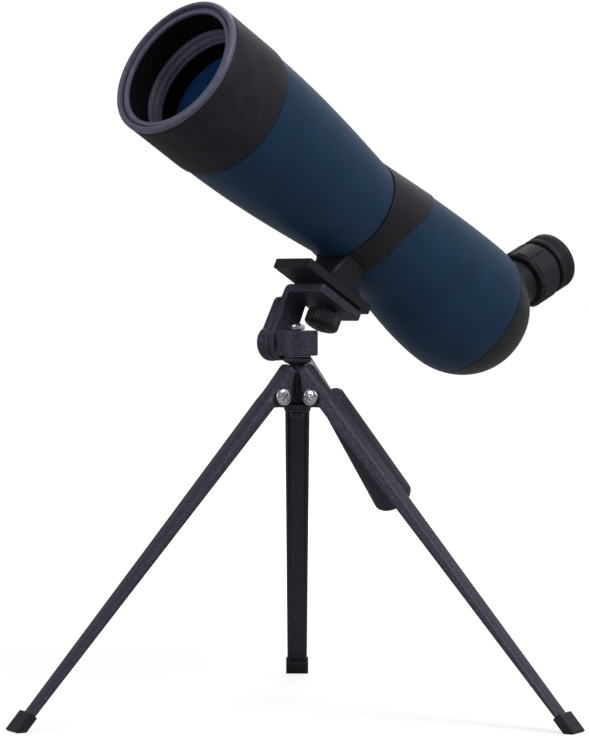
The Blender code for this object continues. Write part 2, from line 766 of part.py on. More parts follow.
def channel_ring(x, half, edge):
    """The U section of a leg at x: half its width, and where its flanges end."""
    web = LEG_OUTSIDE - LEG_SWELL * (1.0 - max(0.0, x) / LEG_END)
    wall = LEG_WALL
    outer = 2.0
    inner = 0.8
    outer_corner = [
        (half - outer + outer * math.cos(math.radians(t)), web + outer - outer * math.sin(math.radians(t)))
        for t in (0.0, 30.0, 60.0, 90.0)]
    inner_corner = [
        (half - wall - inner + inner * math.cos(math.radians(t)),
         web + wall + inner - inner * math.sin(math.radians(t)))
        for t in (90.0, 45.0, 0.0)]
    tip = max(edge, web + wall + inner + 0.1)
    right = [(half - wall, tip), (half, tip)] + outer_corner
    left = [(-y, z) for y, z in reversed(right)]
    inside_left = [(-y, z) for y, z in reversed(inner_corner)]
    outline = right + left + inside_left + inner_corner
    return [(x, y, z) for y, z in outline]


def flange_edge(x):
    """Where the flanges end at x: an ear round the pivot, then a long taper."""
    shoulder = 0.3
    end = -3.2
    if x < -4.8:
        share = (x - LEG_TOP) / (-4.8 - LEG_TOP)
        return -3.4 + share * 6.1
    if x < 5.2:
        return math.sqrt(EAR_R ** 2 - min(abs(x), 4.8) ** 2)
    share = (x - 5.2) / (LEG_END - 5.2)
    return shoulder + (end - shoulder) * share


def make_leg(side, frame, finish):
    """A tapering U-channel leg, open towards the middle, with a drilled ear at its pivot."""
    stations = (LEG_TOP, -8.9, -4.8, -3.0, 0.0, 3.0, 4.8, 5.6, 60.0, LEG_END)
    rings = []
    for x in stations:
        share = max(0.0, x) / LEG_END
        half = LEG_HALF_TOP + (LEG_HALF_END - LEG_HALF_TOP) * share
        rings.append(channel_ring(x, half, flange_edge(x)))
    leg = loft(side + "_leg", rings, finish["powder"], frame)
    across = guide(side + "_pin_line", columns((0.0, 1.0, 0.0), (0.0, 0.0, 1.0), (1.0, 0.0, 0.0),
                                               (0.0, 0.0, 0.0)), frame)
    drill(leg, across, -20.0, 20.0, PIN_HOLE_R, 20)
    return across


def make_leg_pin(side, across, facing, finish):
    """The chrome pivot screw and its nut; facing is the side its head is on."""
    out = LEG_HALF_TOP + GAP
    profile = [
        (-out - 3.6, 0.0),
        (-out - 3.6, PIN_R),
        (out, PIN_R),
        (out, 4.3),
        (out + 2.0, 4.3),
        (out + 2.9, 3.4),
        (out + 3.3, 1.8),
        (out + 3.4, 0.0),
    ]
    turned(side + "_pivot_screw", [(facing * x, r) for x, r in profile], finish["chrome"], across, 20)
    near, far = sorted((-facing * out, -facing * (out + 2.6)))
    hexagon(side + "_pivot_nut", near, far, PIN_R + GAP, 3.5, finish["chrome"], across)


def make_foot(side, frame, finish):
    """A rubber block on the leg's end, cut level with the floor, with a pocket for the leg."""
    lean = math.radians(LEG_ANGLE)
    outer, inner, half, top = -7.1, -1.9, 6.3, 209.0

    def sole(z):
        return (PIVOT_Z - z * math.sin(lean)) / math.cos(lean)

    nose = -5.6
    outline = [(top, outer), (top, inner), (sole(inner), inner), (sole(nose), nose),
               (sole(nose) + 0.2, outer)]
    foot = plate_outline(side + "_foot", outline, -half, half, finish["rubber"], frame)
    pocket = slab(side + "_pocket", (top - 2.0, -LEG_HALF_END - 0.45, LEG_OUTSIDE - GAP),
                  (LEG_END + GAP, LEG_HALF_END + 0.45, -2.6), finish["rubber"], frame)
    combine(foot, pocket, "DIFFERENCE")


def lug_outline():
    """Side outline of one hub lug as (radius, height)."""
    eye = 3.6
    points = [(0.0, 160.4), (PIVOT_RADIUS - 3.0, 160.4)]
    for k in range(7):
        turn = math.radians(-110.0 + 25.0 * k)
        points.append((PIVOT_RADIUS + eye * math.cos(turn), PIVOT_Z + eye * math.sin(turn)))
    lean = math.radians(LEG_ANGLE)
    reach = -11.5
    rise = -3.6
    points.append((PIVOT_RADIUS + reach * math.sin(lean) - rise * math.cos(lean),
                   PIVOT_Z - reach * math.cos(lean) - rise * math.sin(lean)))
    points.append((0.0, points[-1][1]))
    return points


def make_hub(post, finish):
    """The cast hub: neck, column and three drilled lugs, with a cap below."""
    upright = guide("hub_line", columns((0.0, 0.0, 1.0), (1.0, 0.0, 0.0), (0.0, 1.0, 0.0),
                                        (0.0, 0.0, 0.0)), post)
    hub = turned("hub", [
        (CAP_TOP + GAP, 0.0),
        (CAP_TOP + GAP, COLUMN_R),
        (179.9, COLUMN_R),
        (181.2, NECK_R - 0.4),
        (181.6, NECK_R),
        (NECK_TOP - 0.5, NECK_R),
        (NECK_TOP, NECK_R - 0.5),
        (NECK_TOP, 0.0),
    ], finish["powder"], upright, 28)
    for side, azimuth in LEG_AZIMUTHS.items():
        turn = guide(side + "_lug_line", Matrix.Rotation(math.radians(azimuth), 4, "Z"), post)
        lug = plate_outline(side + "_lug", lug_outline(), -LUG_HALF, LUG_HALF, finish["powder"], turn)
        combine(hub, lug, "UNION")
    drill(hub, upright, 100.0, 220.0, PAN_BOLT_R + GAP)
    tube("hub_cap", CAP_BOTTOM, CAP_TOP, PAN_BOLT_R + GAP, 7.5, finish["powder"], upright, 20, 0.6)
    return hub


def make_legs(post, hub, finish):
    heads = {"left": -1.0, "right": 1.0, "rear": 1.0}
    for side, azimuth in LEG_AZIMUTHS.items():
        frame = guide(side + "_leg_line", leg_matrix(azimuth), post)
        across = make_leg(side, frame, finish)
        drill(hub, across, -10.0, 10.0, PIN_HOLE_R, 20)
        make_leg_pin(side, across, heads[side], finish)
        make_foot(side, frame, finish)


# ---- assembly --------------------------------------------------------------------------

def make_scope(pan, finish):
    """Everything above the tilt axis, tilted to its rest elevation."""
    tilt = Matrix.Rotation(math.radians(-ELEVATION), 4, "Y")
    scope = guide("tilt_axis", Matrix.Translation((0.0, SCOPE_SIDE * MM, 0.0)) @ tilt, pan)
    axis = guide("optical_axis", Matrix.Translation((0.0, 0.0, OPTICAL_Z * MM)), scope)
    make_hood(axis, finish)
    make_barrel(axis, finish)
    make_objective(axis, finish)
    make_collar(axis, finish)
    housing = make_housing(axis, finish)
    cover = make_rear_cover(axis, finish)
    shelf = make_prisms(axis, finish)
    side = guide("focus_axis", columns((0.0, -1.0, 0.0), (1.0, 0.0, 0.0), (0.0, 0.0, -1.0),
                                       (FOCUS_X, 0.0, FOCUS_Z)), axis)
    make_focus(axis, side, shelf, finish)
    drill(housing, side, 28.0, 40.0, 3.4)
    bend = math.radians(EYE_ANGLE)
    along = (-math.cos(bend), 0.0, math.sin(bend))
    over = (math.sin(bend), 0.0, math.cos(bend))
    eye = guide("eyepiece_axis", columns(along, (0.0, 1.0, 0.0), tuple(-c for c in over),
                                         (EYE_X, 0.0, 0.0)), axis)
    drill(cover, eye, 15.0, 60.0, 13.2 + GAP, 36)
    make_eyepiece(eye, finish)
    make_scope_foot(scope, axis, finish)
    bracket, upright = make_tilt_bracket(scope, finish)
    make_camera_screw(upright, finish)
    pad = slab("platform_pad", (-25.0, -11.0, PLATFORM_TOP + 0.2), (5.6, 11.0, PLATE_BOTTOM - 0.2),
               finish["rubber"], scope)
    drill(pad, upright, 20.0, 50.0, SCREW_R + 0.9)
    make_handle(scope, bracket, finish)


def main():
    clear_scene()
    finish = make_materials()
    post = guide("tripod_axis", Matrix.Translation((SHIFT_X * MM, SHIFT_Y * MM, 0.0)))
    turn = Matrix.Rotation(math.radians(HEADING), 4, "Z")
    pan = guide("pan_axis", Matrix.Translation((0.0, 0.0, TILT_AXIS_Z * MM)) @ turn, post)
    hub = make_hub(post, finish)
    make_legs(post, hub, finish)
    make_head(post, pan, finish)
    make_scope(pan, finish)


if __name__ == "__main__":
    main()
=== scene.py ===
"""Angled spotting scope on a folding tabletop tripod: detailed surfaces and finishes.

Shapes are worked out in millimetres in the frame of the joint or axis that they belong to,
and go into their meshes in metres, in the frame of the whole object.
"""

import json
import math

import bmesh
import bpy
import numpy as np
from mathutils import Matrix

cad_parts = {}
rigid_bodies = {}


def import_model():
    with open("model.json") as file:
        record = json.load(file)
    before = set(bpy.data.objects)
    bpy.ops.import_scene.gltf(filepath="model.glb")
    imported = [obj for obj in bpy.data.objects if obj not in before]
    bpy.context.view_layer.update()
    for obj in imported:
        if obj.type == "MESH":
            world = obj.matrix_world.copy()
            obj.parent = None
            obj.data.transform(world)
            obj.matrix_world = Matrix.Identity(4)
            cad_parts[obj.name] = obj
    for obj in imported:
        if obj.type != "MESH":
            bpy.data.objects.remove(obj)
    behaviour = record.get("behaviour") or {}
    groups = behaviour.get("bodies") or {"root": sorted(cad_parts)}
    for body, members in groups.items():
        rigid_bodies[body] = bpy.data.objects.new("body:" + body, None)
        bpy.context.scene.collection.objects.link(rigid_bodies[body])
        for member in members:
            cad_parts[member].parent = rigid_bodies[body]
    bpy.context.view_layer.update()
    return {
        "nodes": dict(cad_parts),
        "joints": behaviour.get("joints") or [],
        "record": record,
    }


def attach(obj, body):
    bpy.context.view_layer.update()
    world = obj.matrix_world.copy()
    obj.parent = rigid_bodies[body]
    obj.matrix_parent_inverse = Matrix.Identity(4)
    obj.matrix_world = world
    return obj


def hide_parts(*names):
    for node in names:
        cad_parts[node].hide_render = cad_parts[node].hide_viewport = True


bl_info = {
    "name": "Spotting scope on tabletop tripod",
    "version": (1, 0, 0),
    "blender": (4, 5, 0),
    "location": "View3D > Sidebar > Scope",
    "description": "Builds a spotting scope and its folding tripod around a fixed frame",
    "category": "Add Mesh",
}

for item in list(bpy.data.objects):
    bpy.data.objects.remove(item, do_unlink=True)

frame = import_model()

MM = 0.001
FULL = 2.0 * np.pi
ROUND = 192  # segments round the scope's large pieces

# Rear body: the collar's edges and the domed end, x along the line of sight
COLLAR_FRONT = -2.3
COLLAR_REAR_LOW = -18.0
COLLAR_REAR_TOP = -43.0
HOUSING_END = -111.0
DOME_START = -100.0
DOME_LENGTH = 46.0
OPTICAL_Z = 81.0
BODY_RADIUS = 29.5  # at the collar
BODY_WALL = 2.2

# Tripod head: the scope sits to the side of the pan axis
SCOPE_SIDE = -1.6

# Legs: lean from the vertical, and how far out the outer face lies at the foot
LEG_LEAN = math.radians(40.9)
LEG_OUTSIDE = -5.5
LEG_SWELL = 1.2
LEG_TOP = -16.2
LEG_END = 215.0
LEG_SQUARE = 0.62  # power that rounds a channel's section: 1 is a half ellipse, 0 a rectangle
PIVOT_REACH = 12.8  # from the pan axis
PIVOT_Z = 163.5
LUG_RADIUS = 3.6
EAR_END = 4.8  # the ear round a leg's pivot, either way along the leg
SIDES = ("left", "right", "rear")

# Camera: a long lens, tipped down by a small angle
SENSOR = 36.0
FOCAL_LENGTH = 151.9
CAMERA_FROM_POST = (-0.0015, -1.61387, 0.2163)
CAMERA_DIP = 0.024
LIGHTS_AIM = (0.0, 0.0, 0.2)


# ---- frames ----------------------------------------------------------------------------

def unit(v):
    """The vector at length one."""
    v = np.asarray(v, float)
    return v / np.linalg.norm(v)


def columns(x_axis, y_axis, place):
    """4 x 4 matrix with columns x, y, x cross y and a place in metres."""
    made = np.eye(4)
    made[:3, 0], made[:3, 1] = unit(x_axis), unit(y_axis)
    made[:3, 2] = np.cross(made[:3, 0], made[:3, 1])
    made[:3, 3] = place
    return made


def shifted(at, x=0.0, y=0.0, z=0.0):
    """The same axes at another place, given in millimetres."""
    made = at.copy()
    made[:3, 3] += at[:3, :3] @ np.array((x, y, z)) * MM
    return made


def joint(name):
    """The frame's joint of that name."""
    return next(j for j in frame["joints"] if j["name"] == name)


LEFT = unit(joint("tilt")["axis"])
AHEAD = unit(joint("focus_slide")["axis"])
SCOPE = shifted(columns(AHEAD, LEFT, joint("tilt")["pos_m"]), y=SCOPE_SIDE)
AXIS = shifted(SCOPE, z=OPTICAL_Z)
EYE = columns(joint("zoom_turn")["axis"], LEFT, joint("zoom_turn")["pos_m"])
SIDE = columns(joint("focus_turn")["axis"], AHEAD, joint("focus_turn")["pos_m"])
SCREW = columns(joint("camera_screw_turn")["axis"], AHEAD, joint("camera_screw_turn")["pos_m"])
HANDLE = columns(joint("handle_twist")["axis"], -LEFT, joint("handle_twist")["pos_m"])
HEADING = columns(np.cross(LEFT, (0, 0, 1)), LEFT, joint("tilt")["pos_m"])
POST = columns((1, 0, 0), (0, 1, 0), (*joint("tilt")["pos_m"][:2], 0.0))


def leg_frame(side):
    """x down the leg, z towards the middle, y along the pivot pin."""
    fold = joint(side + "_leg_fold")
    radial = np.cross(unit(fold["axis"]), (0, 0, 1))
    along = radial * math.sin(LEG_LEAN) - np.array((0, 0, 1)) * math.cos(LEG_LEAN)
    return columns(along, -unit(fold["axis"]), fold["pos_m"])


# ---- finishes --------------------------------------------------------------------------

def linear(code):
    """Linear colour of an sRGB hex code."""
    parts = np.array([int(code[i:i + 2], 16) for i in (1, 3, 5)]) / 255.0
    made = np.where(parts <= 0.04045, parts / 12.92, ((parts + 0.055) / 1.055) ** 2.4)
    return tuple(float(c) for c in made)


def add(tree, kind, inputs=None, **settings):
    """Adds a shader node. An input is a value, or (node, output) to link."""
    made = tree.nodes.new("ShaderNode" + kind)
    for key, value in settings.items():
        setattr(made, key, value)
    for key, value in (inputs or {}).items():
        if isinstance(value, tuple) and isinstance(value[0], bpy.types.Node):
            tree.links.new(value[0].outputs[value[1]], made.inputs[key])
        else:
            made.inputs[key].default_value = value
    return made


def surface(name, roughness, **constants):
    """A material with a Principled shader, whose constant sockets are set by name."""
    made = bpy.data.materials.new(name)
    made.use_nodes = True
    tree = made.node_tree
    shader = tree.nodes["Principled BSDF"]
    shader.inputs["Roughness"].default_value = roughness
    for key, value in constants.items():
        shader.inputs[key.replace("_", " ")].default_value = value
    return made, tree, shader


def grained(tree, shader, dark, light, blotch, grain, depth, rough=(0.5, 0.6),
            contrast=(0.35, 0.65)):
    """Two-tone colour in soft blotches, a fine grain in the relief and in the roughness.

    blotch, grain and depth are millimetres: the size of a blotch, of a grain, and its height.
    """
    here = add(tree, "TexCoord")
    clouds = add(tree, "TexNoise", {"Vector": (here, "Object"), "Scale": 1.0 / (blotch * MM), "Detail": 3.0})
    ramp = add(tree, "ValToRGB", {"Fac": (clouds, "Fac")})
    for stop, place, colour in zip(ramp.color_ramp.elements, contrast, (dark, light)):
        stop.position = place
        stop.color = (*colour, 1.0)
    grit = add(tree, "TexNoise", {"Vector": (here, "Object"), "Scale": 1.0 / (grain * MM), "Detail": 2.0})
    gloss = add(tree, "MapRange", {"Value": (grit, "Fac"), "To Min": rough[0], "To Max": rough[1]})
    relief = add(tree, "Bump", {"Height": (grit, "Fac"), "Distance": depth * MM, "Strength": 0.6})
    tree.links.new(ramp.outputs["Color"], shader.inputs["Base Color"])
    tree.links.new(gloss.outputs["Result"], shader.inputs["Roughness"])
    tree.links.new(relief.outputs["Normal"], shader.inputs["Normal"])
    return here


def tone(name):
    """A colour of the panel, linear."""
    return tuple(getattr(bpy.context.scene.scope_finishes, name))


def shade(colour, factor):
    """The colour times a factor, held below white."""
    return tuple(min(1.0, c * factor) for c in colour)


def rubber_armour():
    """Moulded thermoplastic rubber: near-black, a fine leathery grain that scatters light."""
    made, tree, shader = surface("rubber armour, fine grain", 0.6, IOR=1.5, Specular_IOR_Level=0.25)
    colour = tone("armour")
    grained(tree, shader, shade(colour, 0.8), shade(colour, 1.2), 9.0, 0.45, 0.03, (0.52, 0.68))
    return made


def moulded_plastic():
    """Satin black ABS, spark-eroded in the mould: soft highlights, barely visible texture."""
    made, tree, shader = surface("moulded ABS, satin black", 0.45, IOR=1.5, Specular_IOR_Level=0.28)
    colour = tone("plastic")
    grained(tree, shader, shade(colour, 0.85), shade(colour, 1.15), 6.0, 0.35, 0.015, (0.4, 0.5))
    return made


def rim_plastic_painted_highlight():
    """Grey nylon rim, turned after moulding, with a slight haze. Its grey, lighter than the hood's rubber, is
    partly its own colour and partly a painted highlight for the light its front face catches.
    """
    made, tree, shader = surface("nylon rim, satin grey", 0.42, IOR=1.53, Specular_IOR_Level=0.5)
    colour = tone("rim")
    grained(tree, shader, shade(colour, 0.85), shade(colour, 1.15), 3.0, 0.4, 0.02, (0.38, 0.5))
    return made


def soft_touch():
    """Blue soft-touch paint over plastic: a velvety coat that brightens towards its edges."""
    made, tree, shader = surface("soft-touch paint, blue", 0.5, IOR=1.5, Specular_IOR_Level=0.22,
                                 Sheen_Weight=0.05, Sheen_Roughness=0.3)
    shader.inputs["Sheen Tint"].default_value = (*linear("#8FA6C8"), 1.0)
    colour = tone("blue")
    grained(tree, shader, shade(colour, 0.92), shade(colour, 1.08), 14.0, 0.4, 0.012, (0.44, 0.54))
    return made


def powder_coat():
    """Epoxy powder coat with metallic fleck: a gritty orange-peel skin, 0.6 mm speckles.

    Real flecks are about 0.2 mm; they are drawn three times as coarse to show.
    """
    made, tree, shader = surface("powder coat, fleck grey", 0.5, IOR=1.5, Specular_IOR_Level=0.45)
    colour, fleck = tone("powder"), tone("fleck")
    here = grained(tree, shader, shade(colour, 0.7), shade(colour, 1.3), 1.6, 0.7, 0.06, (0.4, 0.62))
    base = shader.inputs["Base Color"].links[0].from_node
    grit = add(tree, "TexNoise", {"Vector": (here, "Object"), "Scale": 1.0 / (0.6 * MM), "Detail": 1.0})
    spots = add(tree, "MapRange", {"Value": (grit, "Fac"), "From Min": 0.55, "From Max": 0.72})
    mixed = add(tree, "Mix", {"Factor": (spots, "Result"), "A": (base, "Color"), "B": (*fleck, 1.0)},
                data_type="RGBA")
    tree.links.new(mixed.outputs[2], shader.inputs["Base Color"])
    metal = add(tree, "MapRange", {"Value": (spots, "Result"), "To Min": 0.15, "To Max": 0.6})
    tree.links.new(metal.outputs["Result"], shader.inputs["Metallic"])
    return made


def grip_rubber():
    """Moulded nitrile rubber: matt charcoal, with scuffs that catch a little light."""
    made, tree, shader = surface("nitrile rubber, matt", 0.7, IOR=1.52, Specular_IOR_Level=0.35)
    colour = tone("rubber")
    grained(tree, shader, shade(colour, 0.75), shade(colour, 1.3), 2.5, 0.5, 0.05, (0.55, 0.75))
    return made


def flecked_nylon():
    """Glass-filled nylon of the grip: charcoal, with pale fibre ends at its surface."""
    made, tree, shader = surface("glass-filled nylon, charcoal", 0.55, IOR=1.53, Specular_IOR_Level=0.35)
    colour = tone("powder")
    grained(tree, shader, shade(colour, 0.6), shade(colour, 1.5), 0.9, 0.5, 0.03, (0.45, 0.65), (0.3, 0.75))
    return made


def baffle_painted_reflection():
    """Blue of the lens coating's reflection, laid on the grooved tube behind the objective.

    A real baffle is most likely matt black. The colour here is a painted reflection of the coating's blue.
    """
    made, tree, shader = surface("baffle lacquer, blue", 0.35, IOR=1.5, Specular_IOR_Level=0.6)
    # painted reflection: the coating's blue laid on the baffle in soft blotches
    colour = tone("coating")
    grained(tree, shader, shade(colour, 0.5), shade(colour, 1.2), 3.0, 0.4, 0.01, (0.3, 0.42))
    return made


def chromed_steel():
    """Bright nickel-chrome plate: mirror-like, with faint polishing haze."""
    made, tree, shader = surface("chrome plate on steel", 0.08, Metallic=1.0)
    grained(tree, shader, linear("#C9C9CC"), linear("#E4E4E6"), 1.5, 0.5, 0.004, (0.05, 0.16))
    return made


def turned_brass():
    """Free-cutting brass: yellow metal with fine turning marks."""
    made, tree, shader = surface("turned brass", 0.3, Metallic=1.0)
    grained(tree, shader, linear("#B08D45"), linear("#D8B870"), 2.0, 0.4, 0.01, (0.22, 0.36))
    return made


def black_anodised():
    """Black anodised aluminium, bead blasted: dull, with a grey bloom on its edges."""
    made, tree, shader = surface("black anodised aluminium", 0.5, IOR=1.5, Specular_IOR_Level=0.5)
    grained(tree, shader, linear("#141418"), linear("#24242B"), 2.0, 0.4, 0.01, (0.35, 0.5))
    return made


def bore_paint():
    """Anti-reflection paint inside the tubes: nearly no light comes back."""
    made, tree, shader = surface("matt black bore paint", 0.85, IOR=1.5, Specular_IOR_Level=0.12)
    grained(tree, shader, linear("#050507"), linear("#0B0B10"), 3.0, 0.5, 0.03, (0.8, 0.9))
    return made


def coated_glass():
    """Polished glass with a blue anti-reflection coating; its blue base colour is a painted reflection of the
    coating.

    Its index is 1.2, below crown glass's 1.52, and 0.8 of it transmits. Both are set for the
    look: the colour stays even and the lens bends what lies behind it less than real glass.
    """
    made, tree, shader = surface("coated crown glass", 0.02, IOR=1.2, Transmission_Weight=0.8,
                                 Specular_IOR_Level=0.6)
    shader.inputs["Specular Tint"].default_value = (*linear("#3F8CFF"), 1.0)
    # painted reflection: the coating's blue set as the glass's base colour, diffuse where it does not transmit
    shader.inputs["Base Color"].default_value = (*tone("coating"), 1.0)
    here = add(tree, "TexCoord")
    dust = add(tree, "TexNoise", {"Vector": (here, "Object"), "Scale": 1.0 / (4.0 * MM), "Detail": 4.0})
    haze = add(tree, "MapRange", {"Value": (dust, "Fac"), "To Min": 0.01, "To Max": 0.04})
    tree.links.new(haze.outputs["Result"], shader.inputs["Roughness"])
    return made


FINISHES = {
    "armour": rubber_armour,
    "rim": rim_plastic_painted_highlight,
    "blue": soft_touch,
    "plastic": moulded_plastic,
    "powder_coat": powder_coat,
    "rubber": grip_rubber,
    "chrome": chromed_steel,
    "brass": turned_brass,
    "inner_metal": black_anodised,
    "bore": bore_paint,
    "nylon": flecked_nylon,
    "baffle": baffle_painted_reflection,
    "glass": coated_glass,
}
made_finishes = {}


def finish(name):
    """The material of that finish, made once."""
    if name not in made_finishes:
        made_finishes[name] = FINISHES[name]()
    return made_finishes[name]


# ---- surfaces --------------------------------------------------------------------------

def fillet(outline, radius, steps=5, closed=True):
    """Rounds the corners of outlines held in the last two dimensions.

    Each corner becomes the curve (1-s)^2 a + 2 s (1-s) corner + s^2 b, where a and b lie on its
    two sides, a radius away or at 0.45 of the side.
    """
    p = np.asarray(outline, float)
    before, after = np.roll(p, 1, -2) - p, np.roll(p, -1, -2) - p
    lengths = [np.linalg.norm(v, axis=-1, keepdims=True) for v in (before, after)]
    reach = np.minimum(np.broadcast_to(radius, p.shape[-2])[:, None], 0.45 * np.minimum(*lengths))
    if not closed:
        reach[..., [0, -1], :] = 0.0
    a = (p + before / lengths[0] * reach)[..., None, :]
    b = (p + after / lengths[1] * reach)[..., None, :]
    s = np.linspace(0.0, 1.0, steps)[:, None]
    arcs = (1 - s) ** 2 * a + 2 * s * (1 - s) * p[..., None, :] + s ** 2 * b
    made = arcs.reshape(*p.shape[:-2], -1, p.shape[-1])
    return made if closed else made[..., steps - 1:1 - steps, :]


def revolve(profile, segments=128, lobes=None):
    """Turns (x, radius) points about x. lobes(x, turn) is added to the radius."""
    x, r = np.asarray(profile, float).T
    turn = np.arange(segments) * FULL / segments
    radius = r[:, None] + (lobes(x[:, None], turn[None, :]) if lobes else 0.0 * turn)
    return np.stack([x[:, None] + 0.0 * turn, radius * np.cos(turn), radius * np.sin(turn)], -1)


def pillow(outline, low, high, edge, order="xzy", steps=5):
    """An outline given a thickness, with its rims rounded over a quarter circle.

    Ring by ring the outline is offset inwards by edge (1 - sin a) at a height of
    low + edge (1 - cos a), and the same from the top.
    """
    p = np.asarray(outline, float)
    ahead = np.roll(p, -1, 0) - np.roll(p, 1, 0)
    area = np.sum(p[:, 0] * np.roll(p[:, 1], -1) - p[:, 1] * np.roll(p[:, 0], -1))
    out = np.stack([ahead[:, 1], -ahead[:, 0]], -1) * np.sign(area)
    out /= np.linalg.norm(out, axis=1, keepdims=True)
    a = np.linspace(0.0, np.pi / 2, steps)
    inset = np.concatenate([edge * (1 - np.sin(a)), edge * (1 - np.sin(a[::-1]))])
    level = np.concatenate([low + edge * (1 - np.cos(a)), high - edge * (1 - np.cos(a[::-1]))])
    flat = p[None] - inset[:, None, None] * out[None]
    made = np.empty((*flat.shape[:2], 3))
    made[..., "xyz".index(order[0])] = flat[..., 0]
    made[..., "xyz".index(order[1])] = flat[..., 1]
    made[..., "xyz".index(order[2])] = level[:, None]
    return made


def box_outline(x0, x1, y0, y1, corner, steps=6):
    """A rectangle with rounded corners."""
    return fillet([(x0, y0), (x1, y0), (x1, y1), (x0, y1)], corner, steps)


def faces_of(rows, cols, start, closed):
    """Quads between neighbouring rings of a grid, and end caps where it isn't closed."""
    i = np.arange(rows if closed else rows - 1)[:, None]
    j = np.arange(cols)[None, :]
    k, m = (i + 1) % rows, (j + 1) % cols
    quads = np.stack([i * cols + j, i * cols + m, k * cols + m, k * cols + j], -1).reshape(-1, 4) + start
    caps = [] if closed else [start + np.arange(cols)[::-1], start + (rows - 1) * cols + np.arange(cols)]
    return quads.tolist() + [c.tolist() for c in caps]


def mesh_of(name, shells, at):
    """A mesh from shells, each a grid of rings or (grid, closed along its rows)."""
    points, faces, total = [], [], 0
    for shell in shells:
        grid, closed = shell if isinstance(shell, tuple) else (shell, False)
        rows, cols = grid.shape[:2]
        points.append(grid.reshape(-1, 3))
        faces += faces_of(rows, cols, total, closed)
        total += rows * cols
    flat = np.concatenate(points) * MM @ at[:3, :3].T + at[:3, 3]
    mesh = bpy.data.meshes.new(name)
    mesh.from_pydata(flat.tolist(), [], faces)
    work = bmesh.new()
    work.from_mesh(mesh)
    bmesh.ops.remove_doubles(work, verts=work.verts, dist=2e-7)
    bmesh.ops.recalc_face_normals(work, faces=work.faces)
    work.to_mesh(mesh)
    work.free()
    return mesh


def piece(name, shells, at, look, body, replaced=(), crease=38.0, weighted=True):
    """Makes the object of a piece, rides it on its body and hides the nodes it stands for."""
    mesh = mesh_of(name, shells, at) if isinstance(shells, list) else shells
    mesh.polygons.foreach_set("use_smooth", [True] * len(mesh.polygons))
    mesh.set_sharp_from_angle(angle=math.radians(crease))
    mesh.materials.clear()
    mesh.materials.append(finish(look))
    made = bpy.data.objects.new(name, mesh)
    bpy.context.collection.objects.link(made)
    if weighted:
        even = made.modifiers.new("even shading", "WEIGHTED_NORMAL")
        even.keep_sharp = True
    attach(made, body)
    if replaced:
        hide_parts(*replaced)
    return made


def cast(name, shells, at, grain=0.32, passes=8):
    """One skin round overlapping shells, with softened edges as a die casting has.

    The shells are remeshed in their own frame, so flat faces stay flat, then smoothed.
    """
    mesh = mesh_of(name + "_rough", shells, np.eye(4))
    rough = bpy.data.objects.new(name + "_rough", mesh)
    bpy.context.collection.objects.link(rough)
    skin = rough.modifiers.new("skin", "REMESH")
    skin.mode = "VOXEL"
    skin.voxel_size = grain * MM
    even = rough.modifiers.new("soften", "SMOOTH")
    even.factor = 0.5
    even.iterations = passes
    bpy.context.view_layer.update()
    graph = bpy.context.evaluated_depsgraph_get()
    made = bpy.data.meshes.new_from_object(rough.evaluated_get(graph))
    bpy.data.objects.remove(rough)
    co = np.empty(len(made.vertices) * 3)
    made.vertices.foreach_get("co", co)
    placed = co.reshape(-1, 3) @ at[:3, :3].T + at[:3, 3]
    made.vertices.foreach_set("co", placed.ravel())
    made.update()
    made.name = name
    return made


def sizes():
    """The panel's sizes, in metres."""
    return bpy.context.scene.scope_sizes


def mm(name):
    """A size of the panel, in millimetres."""
    return getattr(sizes(), name) / MM


# ---- body skin -------------------------------------------------------------------------

def barrel_radius(x):
    """A quarter sine from 29.5 mm at the collar to 37 mm at the hood."""
    share = np.clip((np.asarray(x, float) + 2.0) / 102.7, 0.0, 1.0)
    return BODY_RADIUS + 7.5 * np.sin(share * np.pi / 2)


def skin(x, turn, inset):
    """Points of the rear body: a half oval above the axis and a deeper one below it.

    Heights and half-width grow along a cone, then a quarter sine, and close in an ellipse.
    """
    x, turn, inset = np.broadcast_arrays(x, turn, inset)
    cone = np.clip((-2.0 - x) / 42.0, 0.0, 1.0)
    ease = np.sin(np.clip((-44.0 - x) / 56.0, 0.0, 1.0) * np.pi / 2)
    close = np.sqrt(1.0 - np.clip((DOME_START - x) / DOME_LENGTH, 0.0, 1.0) ** 2)
    top = (BODY_RADIUS + 3.7 * cone + 2.1 * ease) * close - inset
    bottom = (BODY_RADIUS + 3.0 * cone + 8.8 * ease) * close - inset
    half = (BODY_RADIUS + 3.4 * cone + 2.6 * ease) * close - inset
    rise = np.where(np.sin(turn) > 0.0, top, bottom)
    return np.stack([x, np.maximum(half, 0.0) * np.cos(turn), np.maximum(rise, 0.0) * np.sin(turn)], -1)


def collar_edge(turn):
    """How far the collar's rear edge lies behind its lowest part."""
    lift = np.maximum(0.0, (np.sin(turn) + 0.35) / 1.35)
    return (COLLAR_REAR_TOP - COLLAR_REAR_LOW) * lift ** 1.25


def band(front, rear, proud, wall, edge, rows, cols=ROUND):
    """A closed band of the skin between two edges, rounded at both.

    front and rear give x at each turn. The section runs over the outside from the front
    edge to the rear one, with quarter-round corners, and back along the inside.
    """
    turn = (np.arange(cols) * FULL / cols)[None, :]
    a = np.linspace(0.0, np.pi / 2, 5)
    share = np.concatenate([np.zeros(5), np.linspace(0, 1, rows + 2)[1:-1], np.ones(5),
                            np.linspace(1, 0, rows // 3)])
    slip = np.concatenate([-edge * (1 - np.cos(a)), np.zeros(rows),
                           edge * (1 - np.cos(a[::-1])), np.zeros(rows // 3)])
    inset = np.concatenate([edge * (1 - np.sin(a)) - proud, np.full(rows, -proud),
                            edge * (1 - np.sin(a[::-1])) - proud, np.full(rows // 3, wall)])
    start, end = front(turn), rear(turn)
    x = start + (end - start) * share[:, None] + slip[:, None]
    return skin(x, turn, inset[:, None]), True


# ---- pieces of the scope ---------------------------------------------------------------

